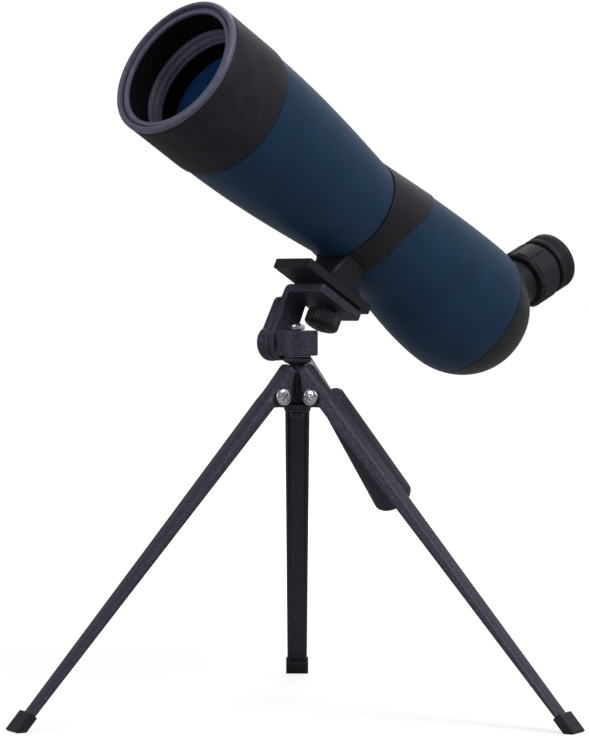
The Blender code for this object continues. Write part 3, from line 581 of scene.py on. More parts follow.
def make_hood():
    """Rubber-covered hood, its lighter front rim with a groove, and the black bore."""
    r, bore = mm("hood_radius"), mm("hood_bore")
    rim = fillet([(138.7, bore), (138.7, r - 0.6), (139.2, r + 0.1), (141.1, r + 0.1), (142.2, r - 1.0),
                  (142.2, 35.5), (139.1, 35.3), (139.1, 34.2), (140.5, 34.0), (140.3, bore)],
                 (0.1, 0.2, 0.4, 0.8, 0.5, 0.4, 0.2, 0.2, 0.3, 0.4))
    piece("front_rim_detail", [(revolve(rim, ROUND), True)], AXIS, "rim", "scope", ["front_rim"])
    ahead = np.linspace(0.0, 1.0, 12)
    shoulder = np.stack([97.4 + 5.0 * ahead, r - 1.1 * (1 - np.sqrt(1 - (1 - ahead) ** 2))], -1)
    side = np.stack([np.linspace(104.0, 137.2, 16), np.full(16, r)], -1)
    lip = [(138.0, r - 0.15), (138.4, r - 0.55), (138.5, r - 1.6)]
    back = [(138.5, bore + 0.7), (97.4, bore + 0.7)]
    outside = np.concatenate([[(97.4, bore + 3.4)], shoulder, side, lip, back])
    piece("hood_armour", [(revolve(outside, ROUND), True)], AXIS, "armour", "scope", ["objective_hood"])
    liner = fillet([(138.6, bore + 0.65), (138.6, bore + 0.05), (125.2, bore - 0.05),
                    (125.2, bore + 0.65)], 0.2)
    piece("hood_bore_liner", [(revolve(liner, 160), True)], AXIS, "bore", "scope")


def make_barrel():
    """Tapered tube, rounded at both rims so that fine dark seams show."""
    x = np.linspace(96.7, -1.6, 60)
    outside = np.stack([x, barrel_radius(x)], -1)
    r = float(barrel_radius(97.1))
    rim = [(97.1, r - BODY_WALL), (97.1, r - 0.4), (97.0, r - 0.1)]
    end = [(-1.9, barrel_radius(-2.0) - 0.1), (-2.0, barrel_radius(-2.0) - 0.4), (-2.0, 27.3)]
    inside = np.stack([x[::-4], barrel_radius(x[::-4]) - BODY_WALL], -1)
    profile = np.concatenate([rim, outside, end, inside])
    piece("barrel_shell", [(revolve(profile, ROUND), True)], AXIS, "blue", "scope", ["front_barrel"])


def threads(x0, x1, pitch, radius, depth, samples=10):
    """Rings in place of a helix: (x, radius) points, radius less depth (1 - cos) / 2."""
    x = np.linspace(x0, x1, int(abs(x1 - x0) / pitch * samples) + 1)
    return np.stack([x, radius - depth * (0.5 - 0.5 * np.cos((x - x0) / pitch * FULL))], -1)


def make_objective():
    """Threaded ring steps, the painted cell wall, the coated lens and the grooved baffle."""
    bore = mm("hood_bore")
    steps = np.concatenate([
        [(99.0, bore - 0.3), (125.0, bore - 0.3), (125.0, 31.1), (124.5, 30.9)],
        threads(124.2, 121.8, 0.8, 30.9, 0.4),
        [(121.5, 30.8), (121.3, 30.0), (121.0, 29.8)],
        threads(120.8, 118.4, 0.8, 29.8, 0.35),
        [(118.1, 29.7), (117.9, 28.9), (117.3, 28.7), (99.0, 28.7)]])
    piece("objective_ring_detail", [(revolve(steps, ROUND), True)], AXIS, "rim", "scope",
          ["objective_cell", "lens_retaining_ring", "front_trim_ring"])
    wall = fillet([(117.0, 28.65), (117.0, 28.45), (104.5, 28.3), (104.5, 28.65)], 0.1)
    piece("cell_wall_paint", [(revolve(wall, 160), True)], AXIS, "bore", "scope")
    r = mm("glass_radius")
    s = np.linspace(0.0, 1.0, 24)
    front = np.stack([110.6 - 2.9 * s ** 2, r * s], -1)
    back = np.stack([105.2 + 1.4 * s[::-1] ** 2, r * s[::-1]], -1)
    piece("objective_front_glass", [revolve(np.concatenate([front, back]), 128)], AXIS, "glass", "scope",
          ["objective_front_lens"], weighted=False)
    groove = threads(104.3, 50.0, 2.7, 27.6, 1.1)
    groove[:, 1] -= (104.3 - groove[:, 0]) * 0.11
    shell = np.concatenate([groove, groove[::-6] + (0.0, 1.0)])
    piece("baffle_tube", [(revolve(shell, 96), True)], AXIS, "baffle", "scope",
          ["objective_rear_lens", "light_baffle"])


def make_collar():
    """Collar band: flat in front, its rear edge swept back over the top."""
    front = lambda turn: COLLAR_FRONT + 0.0 * turn
    rear = lambda turn: COLLAR_REAR_LOW + collar_edge(turn)
    piece("collar_band", [band(front, rear, 0.6, 2.0, 0.5, 16)], AXIS, "plastic", "scope",
          ["mount_collar"])


def make_housing():
    """Blue rear body between the collar and the dome."""
    front = lambda turn: COLLAR_REAR_LOW - 0.2 + collar_edge(turn)
    rear = lambda turn: HOUSING_END + 0.0 * turn
    piece("prism_housing_shell", [band(front, rear, 0.0, 2.0, 0.35, 54)], AXIS, "blue", "scope",
          ["prism_housing"])


def sunk(grid, radius=10.2, edge=1.5, depth=9.0):
    """Sink the skin inside the eyepiece's neck, so that the zoom lenses have room to slide.

    A point at the distance d from the eyepiece's axis moves back along that axis by
    depth s^2 (3 - 2 s), with s = (radius - d) / edge held between 0 and 1.
    """
    world = grid @ AXIS[:3, :3].T + AXIS[:3, 3] / MM
    seen = (world - EYE[:3, 3] / MM) @ EYE[:3, :3]
    s = np.clip((radius - np.hypot(seen[..., 1], seen[..., 2])) / edge, 0.0, 1.0) * (seen[..., 0] > 0)
    back = (depth * s ** 2 * (3 - 2 * s))[..., None] * EYE[:3, 0]
    return grid - back @ AXIS[:3, :3]


def make_rear_cover():
    """Domed end: the skin from its seam to the pole, with x = -100 - 46 sin a."""
    turn = (np.arange(ROUND) * FULL / ROUND)[None, :]
    a = np.linspace(math.asin(11.3 / DOME_LENGTH), np.pi / 2, 40)
    x_out = np.concatenate([[-111.2, -111.2, -111.25], DOME_START - DOME_LENGTH * np.sin(a)])
    in_out = np.concatenate([[BODY_WALL, 0.35, 0.1], np.zeros(40)])
    a_in = a[::-3]
    x_in = DOME_START - DOME_LENGTH * np.sin(a_in)
    grid = skin(np.concatenate([x_out, x_in + BODY_WALL * np.sin(a_in)])[:, None], turn,
                np.concatenate([in_out, np.full(len(a_in), BODY_WALL)])[:, None])
    grid[len(x_out) - 1, :, 1:] = 0.0
    grid[len(x_out), :, 1:] = 0.0
    outer, inner = grid[:len(x_out)][::-1], grid[len(x_out):][::-1]
    shell = sunk(np.concatenate([outer, inner]))
    piece("rear_dome", [shell], AXIS, "plastic", "scope", ["rear_cover"])


# ---- eyepiece --------------------------------------------------------------------------

def pads(count, start, end, rise, share=0.72):
    """Raised pads round a ring: a soft-edged square wave in the turn and along x."""
    def lobes(x, turn):
        wave = np.abs(((turn * count / FULL) % 1.0) - 0.5) * 2.0
        across = np.clip((share - wave) / 0.07 + 0.5, 0.0, 1.0)
        along = np.clip((x - start) / 0.5, 0, 1) * np.clip((end - x) / 0.5, 0, 1)
        soft = lambda v: v * v * (3 - 2 * v)
        return rise * soft(across) * soft(along)
    return lobes


def ribs(count, depth, start, end):
    """Knurling: a raised cosine sharpened to narrow ribs, between two x values."""
    def lobes(x, turn):
        wave = 0.5 + 0.5 * np.cos(turn * count)
        along = np.clip((x - start) / 0.6, 0, 1) * np.clip((end - x) / 0.6, 0, 1)
        return depth * (wave ** 0.7 - 1.0) * along
    return lobes


def make_eyepiece():
    """Socket, barrel, eyecup and eye lens about the eyepiece's own axis."""
    socket = fillet([(19.0, 10.6), (19.0, 13.2), (40.3, 13.2), (41.0, 12.5), (41.0, 10.6)], 0.5)
    piece("eyepiece_neck", [(revolve(socket, 128), True)], EYE, "plastic", "scope", ["eyepiece_socket"])
    barrel = fillet([(24.0, 8.8), (24.0, 10.2), (58.9, 10.2), (58.9, 14.2), (60.9, 14.2), (60.9, 12.5),
                     (70.4, 12.5), (70.4, 8.8)], 0.3)
    piece("eyepiece_tube", [(revolve(barrel, 128), True)], EYE, "inner_metal", "scope",
          ["eyepiece_barrel"])
    cup = mm("cup_radius")
    flange = threads(63.4, 68.6, 1.3, cup, 0.35)
    body = np.concatenate([
        fillet([(60.9, 12.8), (60.9, cup - 0.6), (62.2, cup), (63.4, cup)], 0.6, closed=False), flange,
        fillet([(68.6, cup), (71.4, cup), (73.4, cup - 1.9), (73.3, cup - 4.4), (72.2, 9.4), (70.9, 9.1),
                (70.9, 12.8)], 0.8, closed=False)])
    piece("eyecup_detail", [(revolve(body, 144), True)], EYE, "rubber", "scope", ["eyecup"])
    s = np.linspace(0.0, 1.0, 14)
    front = np.stack([67.6 - 1.6 * s ** 2, 8.5 * s], -1)
    back = np.stack([62.4 + 1.6 * s[::-1] ** 2, 8.5 * s[::-1]], -1)
    piece("eye_glass", [revolve(np.concatenate([front, back]), 64)], EYE, "glass", "scope",
          ["eye_lens"], weighted=False)


def make_zoom_ring():
    """Zoom ring with raised pads between two plain rims."""
    start, end, r = 41.4, 58.5, mm("zoom_radius")
    x = np.concatenate([[start, start, start + 0.25, start + 0.9], np.linspace(start + 1.3, end - 1.3, 34),
                        [end - 0.9, end - 0.25, end, end]])
    rim = np.array([10.7, r - 1.2, r - 0.6, r - 0.1])
    radius = np.concatenate([rim, np.full(34, r), rim[::-1]])
    lobes = pads(sizes().zoom_pads, start + 1.6, end - 1.6, 0.75)
    outer = lambda x, turn: lobes(x, turn) * (radius[:, None] > r - 0.2)
    piece("zoom_ring_detail", [(revolve(np.stack([x, radius], -1), 480, outer), True)], EYE, "rubber",
          "zoom_ring", ["zoom_ring"])


def make_focus_knob():
    """Ribbed focus knob and the plain disc let into its face."""
    knob = fillet([(36.2, 3.3), (36.2, 9.4), (37.4, 11.0), (46.0, 11.0), (47.0, 9.8),
                   (47.0, 7.3), (45.6, 7.3), (45.6, 3.3)], 0.5)
    dense = np.concatenate([knob, np.stack([np.linspace(38.2, 45.2, 12), np.full(12, 11.0)], -1)])
    order = np.r_[0:15, len(knob):len(dense), 15:len(knob)]
    grip = ribs(sizes().knob_ribs, 0.5, 37.6, 45.8)
    lobes = lambda x, turn: grip(x, turn) * (dense[order][:, 1:] > 10.6)
    piece("focus_knob_detail", [(revolve(dense[order], 420, lobes), True)], SIDE, "armour", "focus_knob",
          ["focus_knob"])
    disc = fillet([(45.7, 0.0), (45.7, 6.9), (47.2, 6.9), (47.3, 0.0)], (0, 0.2, 0.3, 0), closed=False)
    piece("focus_knob_disc", [revolve(disc, 96)], SIDE, "plastic", "focus_knob", ["focus_knob_cap"])


# ---- foot, bracket and head ------------------------------------------------------------

def make_scope_foot():
    """Pedestal that flares into the plate, with a small half-round boss on its front."""
    plate = pillow(box_outline(-30.0, 22.0, -12.9, 12.9, 0.9), 32.7, 38.0, 0.6, "xyz")
    level = np.array([37.0, 38.2, 39.6, 42.0, 46.0, 51.0, 56.0, 62.0])
    rear = np.array([-28.0, -26.6, -24.2, -21.4, -19.4, -18.6, -18.2, -18.0])
    ahead = np.array([5.6, 5.0, 4.0, 2.2, 0.0, -1.6, -2.2, -2.6])
    half = np.array([11.4, 11.0, 10.3, 9.7, 9.9, 11.2, 13.4, 16.0])
    rings = [np.c_[box_outline(b, f, -h, h, 2.4), np.full(24, z)]
             for z, b, f, h in zip(level, rear, ahead, half)]
    face = fillet([(-3.4, 39.0), (3.4, 39.0), (3.4, 43.6), (-3.4, 43.6)], 2.6, 6)
    boss = pillow(face, 1.0, 5.4, 0.6, "yzx")
    piece("scope_foot_detail", [plate, np.array(rings), boss], SCOPE, "plastic", "scope", ["scope_foot"])
    pad = pillow(box_outline(-25.0, 5.6, -11.0, 11.0, 1.0), 31.4, 32.6, 0.3, "xyz")
    piece("platform_pad_detail", [pad], SCOPE, "rubber", "scope", ["platform_pad"])


def arc(cx, cz, radius, start, end, steps=20):
    """Points of a circle between two angles in degrees."""
    turn = np.radians(np.linspace(start, end, steps))
    return np.stack([cx + radius * np.cos(turn), cz + radius * np.sin(turn)], -1)


def arm_outline(radius, rear, ahead, top, corner):
    """Side outline of the arm: a half circle on the tilt axis, a nick, and the upright."""
    return np.concatenate([arc(0, 0, radius, 180, 360), [(radius - 0.5, 2.4), (ahead + 0.1, 3.8)],
                           arc(ahead - corner, top - corner, corner, 0, 90, 8),
                           arc(rear + corner, top - corner, corner, 90, 180, 8)])


def make_bracket():
    """Platform bent down into the arm, with a thicker rib and knuckle outside it."""
    platform = pillow(box_outline(-26.0, 7.0, -13.4, 12.2, 1.6), 26.5, 31.3, 0.6, "xyz")
    bend = fillet([(-15.6, 4.0), (-11.0, 4.0), (-11.0, 26.9), (-6.0, 26.9), (-6.0, 31.3), (-15.6, 31.3)],
                  (0.3, 0.3, 0.8, 0.3, 0.3, 3.4), 8)
    web = pillow(arm_outline(9.5, -7.6, 7.0, 29.0, 2.4), -15.5, -11.0, 0.5, "xzy")
    corner = pillow(bend, -7.6, 7.0, 0.6, "yzx")
    rib = pillow(arm_outline(9.8, -9.4, 8.2, 24.4, 4.0), -19.2, -14.8, 1.2, "xzy")
    skin_mesh = cast("tilt_bracket_detail", [platform, web, corner, rib], SCOPE)
    piece("tilt_bracket_detail", skin_mesh, None, "powder_coat", "scope", ["tilt_bracket"], weighted=False)


def make_camera_screw():
    """Knurled head with a domed face, and the shank through the platform."""
    r = 9.2
    share = np.linspace(0.0, 1.0, 12)
    face = np.stack([14.5 + 1.9 * share ** 2.4, 7.8 * share], -1)
    face[:, 0] += 0.45 * np.exp(-((face[:, 1] - 3.2) / 0.9) ** 2)
    side = np.stack([np.linspace(17.2, 22.8, 14), np.full(14, r)], -1)
    top = [(23.5, r - 0.6), (23.9, r - 2.0), (24.0, 5.2), (26.3, 5.0), (26.3, 3.1),
           (33.0, 3.1), (33.0, 0.0)]
    profile = np.concatenate([face, [(16.6, 8.7)], side, top])
    grip = ribs(sizes().screw_ribs, 0.75, 16.5, 23.5)
    lobes = lambda x, turn: grip(x, turn) * (profile[:, 1:] > 8.5)
    piece("camera_screw_detail", [revolve(profile, 384, lobes)], SCREW, "plastic",
          "camera_screw", ["camera_screw"], crease=50.0)


def hex_nut(x0, x1, radius, bore):
    """A hexagon whose corners are cut by a cone at both ends."""
    x = np.array([x0, x0, x0 + 0.5, x1 - 0.5, x1, x1])
    cut = np.array([0.0, 0.62, 0.0, 0.0, 0.62, 0.0])
    turn = np.arange(96) * FULL / 96
    hexagon = radius * math.cos(np.pi / 6) / np.cos((turn % (np.pi / 3)) - np.pi / 6)
    outer = np.minimum(hexagon[None, :], (radius - cut)[:, None])
    outer[[0, -1]] = bore
    return np.stack([x[:, None] + 0 * turn, outer * np.cos(turn), outer * np.sin(turn)], -1), True


def make_pan_head():
    """Pan block with the round boss that meets the arm, and its bolts and nut."""
    upright = columns((0, 0, 1), HEADING[:3, 0], HEADING[:3, 3])
    side = fillet([(-6.7, 0.0), (-6.7, 10.6), (6.3, 10.6), (6.3, 0.0)], (0, 0.6, 0.6, 0), 6, False)
    end = fillet([(7.9, 0.0), (7.9, 9.4), (12.3, 9.4), (12.3, 0.0)], (0, 0.3, 0.4, 0), 5, False)
    block, boss = revolve(side, 160), revolve(end, 160)
    boss = np.stack([boss[..., 1], -boss[..., 0], np.minimum(boss[..., 2], 6.2)], -1)
    block = np.stack([block[..., 1], block[..., 2], block[..., 0]], -1)
    piece("pan_block_detail", cast("pan_block_detail", [block, boss], HEADING, 0.28, 5), None, "powder_coat",
          "pan_head", ["pan_block"], weighted=False)
    nut = hex_nut(6.6, 9.2, 4.0, 2.5)
    piece("pan_nut_detail", [nut], upright, "chrome", "root", ["pan_nut"])
    stem = fillet([(-38.5, 0.0), (-38.5, 3.4), (-36.1, 3.8), (-35.9, 2.2), (9.6, 2.2),
                   (10.0, 1.8), (10.0, 0.0)],
                  (0, 0.8, 0.2, 0.1, 0.2, 0.2, 0), 5, False)
    piece("pan_bolt_detail", [revolve(stem, 64)], upright, "inner_metal", "root", ["pan_bolt"])
    across = columns(-LEFT, (0, 0, 1), HEADING[:3, 3])
    bolt = fillet([(4.6, 0.0), (4.6, 3.0), (21.1, 3.0), (21.1, 6.0), (22.7, 6.0),
                   (23.5, 4.4), (23.5, 0.0)],
                  (0, 0.2, 0.1, 0.2, 0.6, 0.6, 0), 5, False)
    piece("tilt_bolt_detail", [revolve(bolt, 96)], across, "chrome", "pan_head", ["tilt_pivot_bolt"])


def make_handle():
    """Chromed rod and the conical grip, rounded at its mouth and at its end."""
    rod = fillet([(0.0, 0.0), (0.0, 2.4), (84.0, 2.4), (84.0, 0.0)], (0, 0.3, 0.3, 0), 4, False)
    piece("handle_rod_detail", [revolve(rod, 48)], HANDLE, "chrome", "handle", ["handle_rod"])
    s = np.linspace(0.0, 1.0, 30)
    cone = np.stack([51.4 + 71.6 * s, 7.2 + 3.7 * s], -1)
    near = fillet([(49.9, 0.0), (49.9, 6.2), (51.4, 7.2)], (0, 0.8, 0), 5, False)
    far = fillet([(124.6, 10.9), (126.9, 9.4), (126.9, 0.0)], (0, 1.6, 0), 8, False)
    profile = np.concatenate([near, cone[1:], far])
    piece("handle_grip_detail", [revolve(profile, 96)], HANDLE, "nylon", "handle",
          ["handle_grip"])


# ---- hub, legs and feet ----------------------------------------------------------------

def make_hub():
    """Cast hub: neck and column with three lugs, and the cap under it."""
    neck = fillet([(159.5, 0.0), (159.5, 3.6), (179.6, 3.6), (181.2, 6.8), (181.8, 7.3),
                   (183.5, 7.3), (184.0, 6.9), (184.0, 0.0)], (0, 0.3, 0.8, 0.6, 0.6, 0.4, 0.3, 0), 5, False)
    shells = [revolve(neck, 96)[..., [1, 2, 0]]]
    lug = np.array([(0.0, 160.4), (9.8, 160.4)])
    eye = arc(PIVOT_REACH, PIVOT_Z, LUG_RADIUS, -110, 40, 14)
    reach = 14.5
    top = (PIVOT_REACH - reach * math.sin(LEG_LEAN) + LUG_RADIUS * math.cos(LEG_LEAN),
           PIVOT_Z + reach * math.cos(LEG_LEAN) + LUG_RADIUS * math.sin(LEG_LEAN))
    outline = np.concatenate([lug, eye, [top, (0.0, top[1])]])
    for side in SIDES:
        radial = np.cross(unit(joint(side + "_leg_fold")["axis"]), (0, 0, 1))
        flat = pillow(outline, -2.8, 2.8, 0.5, "xzy")
        turn = np.array((radial, np.cross((0, 0, 1), radial), (0, 0, 1)))
        shells.append(flat @ turn)
    piece("hub_casting", cast("hub_casting", shells, POST, 0.3, 6), None, "powder_coat", "root", ["hub"],
          weighted=False)
    upright = columns((0, 0, 1), (1, 0, 0), POST[:3, 3])
    cap = fillet([(155.6, 2.5), (155.6, 6.6), (159.2, 7.5), (159.2, 2.5)], (0.1, 0.7, 0.5, 0.1))
    piece("hub_cap_detail", [(revolve(cap, 96), True)], upright, "powder_coat", "root", ["hub_cap"])
    washer = fillet([(184.1, 2.5), (184.1, 6.6), (184.4, 6.6), (184.4, 2.5)], 0.1)
    piece("pan_washer_detail", [(revolve(washer, 96), True)], upright, "chrome", "root", ["pan_washer"])


def flange_edge(x):
    """Where a leg's flanges end: a ramp, an ear round the pivot, then a long taper."""
    ramp = -3.4 + (x - LEG_TOP) / (-EAR_END - LEG_TOP) * 6.1
    ear = np.sqrt(5.5 ** 2 - np.minimum(np.abs(x), EAR_END) ** 2)
    taper = 0.3 - 3.5 * (x - 5.2) / (LEG_END - 5.2)
    blend = np.clip((x - 4.4) / 3.0, 0.0, 1.0)
    blend = blend * blend * (3 - 2 * blend)
    return np.where(x < -EAR_END, ramp, ear * (1 - blend) + taper * blend)


def make_leg(side):
    """A U-channel, open towards the middle, that tapers along the leg.

    Across the leg, y = half |cos a|^0.62 and the depth is |sin a|^0.62, a rounded square;
    the inside is the same curve less the wall.
    """
    x = np.concatenate([np.linspace(LEG_TOP, -EAR_END, 14)[:-1],
                        np.linspace(-EAR_END, 8.0, 30)[:-1], np.linspace(8.0, LEG_END, 40)])
    top, end = mm("leg_width_top") / 2, mm("leg_width_end") / 2
    half = top + (end - top) * np.maximum(x, 0.0) / LEG_END
    half = (half - 1.5 * (1 - np.sqrt(1 - np.clip((LEG_TOP + 2.2 - x) / 2.2, 0, 1) ** 2)))[:, None]
    wall = mm("leg_wall")
    low = (LEG_OUTSIDE - LEG_SWELL * (1.0 - np.maximum(x, 0.0) / LEG_END))[:, None]
    tip = np.maximum(flange_edge(x)[:, None], low + wall + 0.9)
    a = np.linspace(0.0, np.pi, 33)[None, :]
    side_share = np.sign(np.cos(a)) * np.abs(np.cos(a)) ** LEG_SQUARE
    deep_share = np.abs(np.sin(a)) ** LEG_SQUARE
    outer = np.stack([half * side_share, tip - (tip - low) * deep_share], -1)
    inner = np.stack([(half - wall) * side_share, tip - (tip - low - wall) * deep_share], -1)[:, ::-1]
    section = np.concatenate([outer, inner], 1)
    grid = np.concatenate([np.broadcast_to(x[:, None, None], (*section.shape[:2], 1)), section], -1)
    piece(side + "_leg_channel", [grid], leg_frame(side), "powder_coat", side + "_leg", [side + "_leg"])


def make_pivot(side, facing):
    """Pan-head screw with a cross recess, and its nut; facing is the side of the head."""
    at = leg_frame(side)
    across = columns(at[:3, 1] * facing, at[:3, 0], at[:3, 3])
    r = mm("screw_head") / 2
    base = 6.75
    stem = fillet([(-10.4, 0.0), (-10.4, 1.8), (base, 1.8), (base, 0.0)], (0, 0.2, 0, 0), 4, False)
    shank = revolve(stem, 48)
    s = np.linspace(0.0, 1.0, 44)[:, None]
    turn = (np.arange(144) * FULL / 144)[None, :]
    u, v = np.abs(r * s * np.cos(turn)), np.abs(r * s * np.sin(turn))
    soft = lambda d: np.clip(d / 0.18, 0.0, 1.0)
    arms = np.maximum(soft(0.5 - u) * soft(2.5 - v), soft(0.5 - v) * soft(2.5 - u))
    dome = base + 1.7 + 1.6 * np.sqrt(np.maximum(0.0, 1 - (0.97 * s) ** 2.6)) - 1.5 * arms
    head = np.stack([dome + 0 * turn, r * s * np.cos(turn), r * s * np.sin(turn)], -1)
    rim = revolve([(base + 1.5, r), (base + 0.2, r), (base, r - 0.2), (base, 0.0)], 144)
    piece(side + "_pivot_screw_detail", [shank, np.concatenate([head, rim])], across, "chrome", "root",
          [side + "_pivot_screw"], crease=45.0, weighted=False)
    nut = hex_nut(-9.35, -6.75, 3.5, 2.1)
    piece(side + "_pivot_nut_detail", [nut], across, "chrome", "root", [side + "_pivot_nut"])


def make_foot(side):
    """Plain rubber block, its sole cut level with the floor."""
    at = leg_frame(side)
    pivot_z = joint(side + "_leg_fold")["pos_m"][2] / MM

    def sole(z):
        return (pivot_z - z * math.sin(LEG_LEAN)) / math.cos(LEG_LEAN)

    outline = fillet([(209.0, -7.1), (sole(-5.6) + 0.2, -7.1), (sole(-5.6), -5.6), (sole(-1.9), -1.9),
                      (209.0, -1.9)], (0.8, 0.8, 0.2, 0.6, 0.6), 6)
    piece(side + "_foot_detail", [pillow(outline, -6.3, 6.3, 0.55, "xzy")], at, "rubber", side + "_leg",
          [side + "_foot"])


# ---- stage -----------------------------------------------------------------------------

def make_floor():
    """Pale floor. It also emits towards camera rays, more with distance, so no edge shows."""
    made, tree, shader = surface("pale studio floor", 0.9, Specular_IOR_Level=0.0)
    here = add(tree, "TexCoord")
    clouds = add(tree, "TexNoise", {"Vector": (here, "Object"), "Scale": 3.0, "Detail": 2.0})
    tones = add(tree, "MapRange", {"Value": (clouds, "Fac"), "To Min": 0.36, "To Max": 0.38})
    away = add(tree, "VectorMath", {0: (here, "Object")}, operation="LENGTH")
    glow = add(tree, "MapRange", {"Value": (away, "Value"), "From Min": 0.2, "From Max": 1.0, "To Min": 0.7,
                                  "To Max": 1.0}, interpolation_type="SMOOTHSTEP")
    path = add(tree, "LightPath")
    seen = add(tree, "Math", {0: (path, "Is Camera Ray"), 1: (glow, "Result")}, operation="MULTIPLY")
    tree.links.new(tones.outputs["Result"], shader.inputs["Base Color"])
    tree.links.new(seen.outputs["Value"], shader.inputs["Emission Strength"])
    shader.inputs["Emission Color"].default_value = (1.0, 1.0, 1.0, 1.0)
    corners = [(-6, -6, 0), (6, -6, 0), (6, 6, 0), (-6, 6, 0)]
    mesh = bpy.data.meshes.new("floor")
    mesh.from_pydata(corners, [], [(0, 1, 2, 3)])
    mesh.materials.append(made)
    floor = bpy.data.objects.new("floor", mesh)
    bpy.context.collection.objects.link(floor)


def make_world():
    """White to the camera; its light comes mostly from above, the right and the far side."""
    world = bpy.data.worlds.new("studio")
    bpy.context.scene.world = world
    world.use_nodes = True
    tree = world.node_tree
    tree.nodes.clear()
    here = add(tree, "TexCoord")
    split = add(tree, "SeparateXYZ", {"Vector": (here, "Generated")})
    side = add(tree, "MapRange", {"Value": (split, "X"), "From Min": -1.0, "From Max": 1.0,
                                  "To Min": 0.35, "To Max": 0.75})
    high = add(tree, "MapRange", {"Value": (split, "Z"), "From Min": -0.2, "From Max": 1.0,
                                  "To Min": 0.75, "To Max": 1.25})
    deep = add(tree, "MapRange", {"Value": (split, "Y"), "From Min": -1.0, "From Max": 1.0,
                                  "To Min": 0.5, "To Max": 1.1})
    level = add(tree, "Math", {0: (side, "Result"), 1: (deep, "Result")}, operation="MULTIPLY")
    both = add(tree, "Math", {0: (level, "Value"), 1: (high, "Result")}, operation="MULTIPLY")
    light = add(tree, "Background", {"Color": (*linear("#F4F6FF"), 1.0), "Strength": (both, "Value")})
    seen = add(tree, "Background", {"Color": (1.0, 1.0, 1.0, 1.0), "Strength": 1.0})
    path = add(tree, "LightPath")
    mix = add(tree, "MixShader", {0: (path, "Is Camera Ray"), 1: (light, "Background"),
                                  2: (seen, "Background")})
    add(tree, "OutputWorld", {"Surface": (mix, "Shader")})


def make_light(name, place, target, width, power, colour):
    """A round area light, aimed at its target."""
    data = bpy.data.lights.new(name, "AREA")
    data.shape = "DISK"
    data.size = width
    data.energy = power
    data.color = linear(colour)
    lamp = bpy.data.objects.new(name, data)
    bpy.context.collection.objects.link(lamp)
    aim(lamp, place, target)


def aim(item, place, target):
    """Puts a light or camera at a place, looking at a target."""
    back = unit(np.subtract(place, target))
    right = unit(np.cross((0, 0, 1), back))
    up = np.cross(back, right)
    matrix = np.eye(4)
    matrix[:3, :3] = np.stack([right, up, back], -1)
    matrix[:3, 3] = place
    item.matrix_world = Matrix(matrix.tolist())


def make_camera():
    """Long lens, nearly level, a little over the head's height."""
    data = bpy.data.cameras.new("camera")
    data.sensor_width = SENSOR
    data.lens = FOCAL_LENGTH
    camera = bpy.data.objects.new("camera", data)
    bpy.context.collection.objects.link(camera)
    place = POST[:3, 3] + CAMERA_FROM_POST
    ahead = np.array((0.0, math.cos(CAMERA_DIP), -math.sin(CAMERA_DIP)))
    aim(camera, place, place + ahead)
    bpy.context.scene.camera = camera


# ---- add-on ----------------------------------------------------------------------------

def length(name, value, description):
    """A length of the panel, given in millimetres and kept in metres."""
    return bpy.props.FloatProperty(name=name, description=description, default=value * MM, unit="LENGTH",
                                   precision=5, min=0.0001)


def colour(name, code, description):
    """A colour of the panel, given as an sRGB hex code."""
    return bpy.props.FloatVectorProperty(name=name, description=description, default=linear(code), size=3,
                                         subtype="COLOR", min=0.0, max=1.0)


class ScopeSizes(bpy.types.PropertyGroup):
    hood_radius: length("Hood radius", 38.0, "Outer radius of the objective hood")
    hood_bore: length("Hood bore", 31.8, "Inner radius of the objective hood")
    glass_radius: length("Objective radius", 28.2, "Radius of the front lens")
    zoom_radius: length("Zoom ring radius", 16.0, "Radius of the zoom ring between its pads")
    cup_radius: length("Eyecup radius", 16.4, "Outer radius of the eyecup")
    leg_width_top: length("Leg width at pivot", 12.9, "Width of a leg channel at its pivot")
    leg_width_end: length("Leg width at foot", 10.9, "Width of a leg channel at its foot")
    leg_wall: length("Leg wall", 1.3, "Sheet thickness of a leg")
    screw_head: length("Pivot screw head", 8.6, "Diameter of a pivot screw's head")
    zoom_pads: bpy.props.IntProperty(name="Zoom ring pads", description="Raised pads round the zoom ring",
                                     default=8, min=3, max=24)
    knob_ribs: bpy.props.IntProperty(name="Focus knob ribs", description="Ribs round the focus knob",
                                     default=30, min=6, max=60)
    screw_ribs: bpy.props.IntProperty(name="Camera screw ribs", description="Ribs round the camera screw's head",
                                      default=28, min=6, max=60)


class ScopeFinishes(bpy.types.PropertyGroup):
    armour: colour("Hood rubber", "#242329", "Colour of the rubber armour")
    # Partly a painted highlight: lighter than the hood for the light the rim's front face catches
    rim: colour("Front rim", "#58586A", "Colour of the rim round the hood's mouth")
    blue: colour("Body paint", "#17354F", "Colour of the soft-touch body paint")
    plastic: colour("Moulded plastic", "#1B1B20", "Colour of the collar, the dome and the knobs")
    powder: colour("Powder coat", "#2B2B35", "Colour of the tripod's powder coat")
    fleck: colour("Powder coat fleck", "#5C5E70", "Colour of the fleck in the powder coat")
    rubber: colour("Rubber", "#1C1C22", "Colour of the feet, the zoom ring and the eyecup")
    # Painted reflection: the coating's blue, laid into the glass's base colour and onto the baffle
    coating: colour("Lens coating", "#3A76B0", "Tint of the coated glass")


def make_legs():
    """The three legs."""
    for side in SIDES:
        make_leg(side)


def make_pivots():
    """The three pivot screws and nuts; the left head is at the other end of its pin."""
    for side, facing in zip(SIDES, (-1, 1, 1)):
        make_pivot(side, facing)


def make_feet():
    """The three feet."""
    for side in SIDES:
        make_foot(side)


def finish_inner_parts():
    """Gives the hidden nodes their real finishes."""
    slots = {row["node"]: row["material_slot"] for row in frame["record"]["subparts"]}
    for name, node in frame["nodes"].items():
        node.data.materials.clear()
        node.data.materials.append(finish(slots[name]))


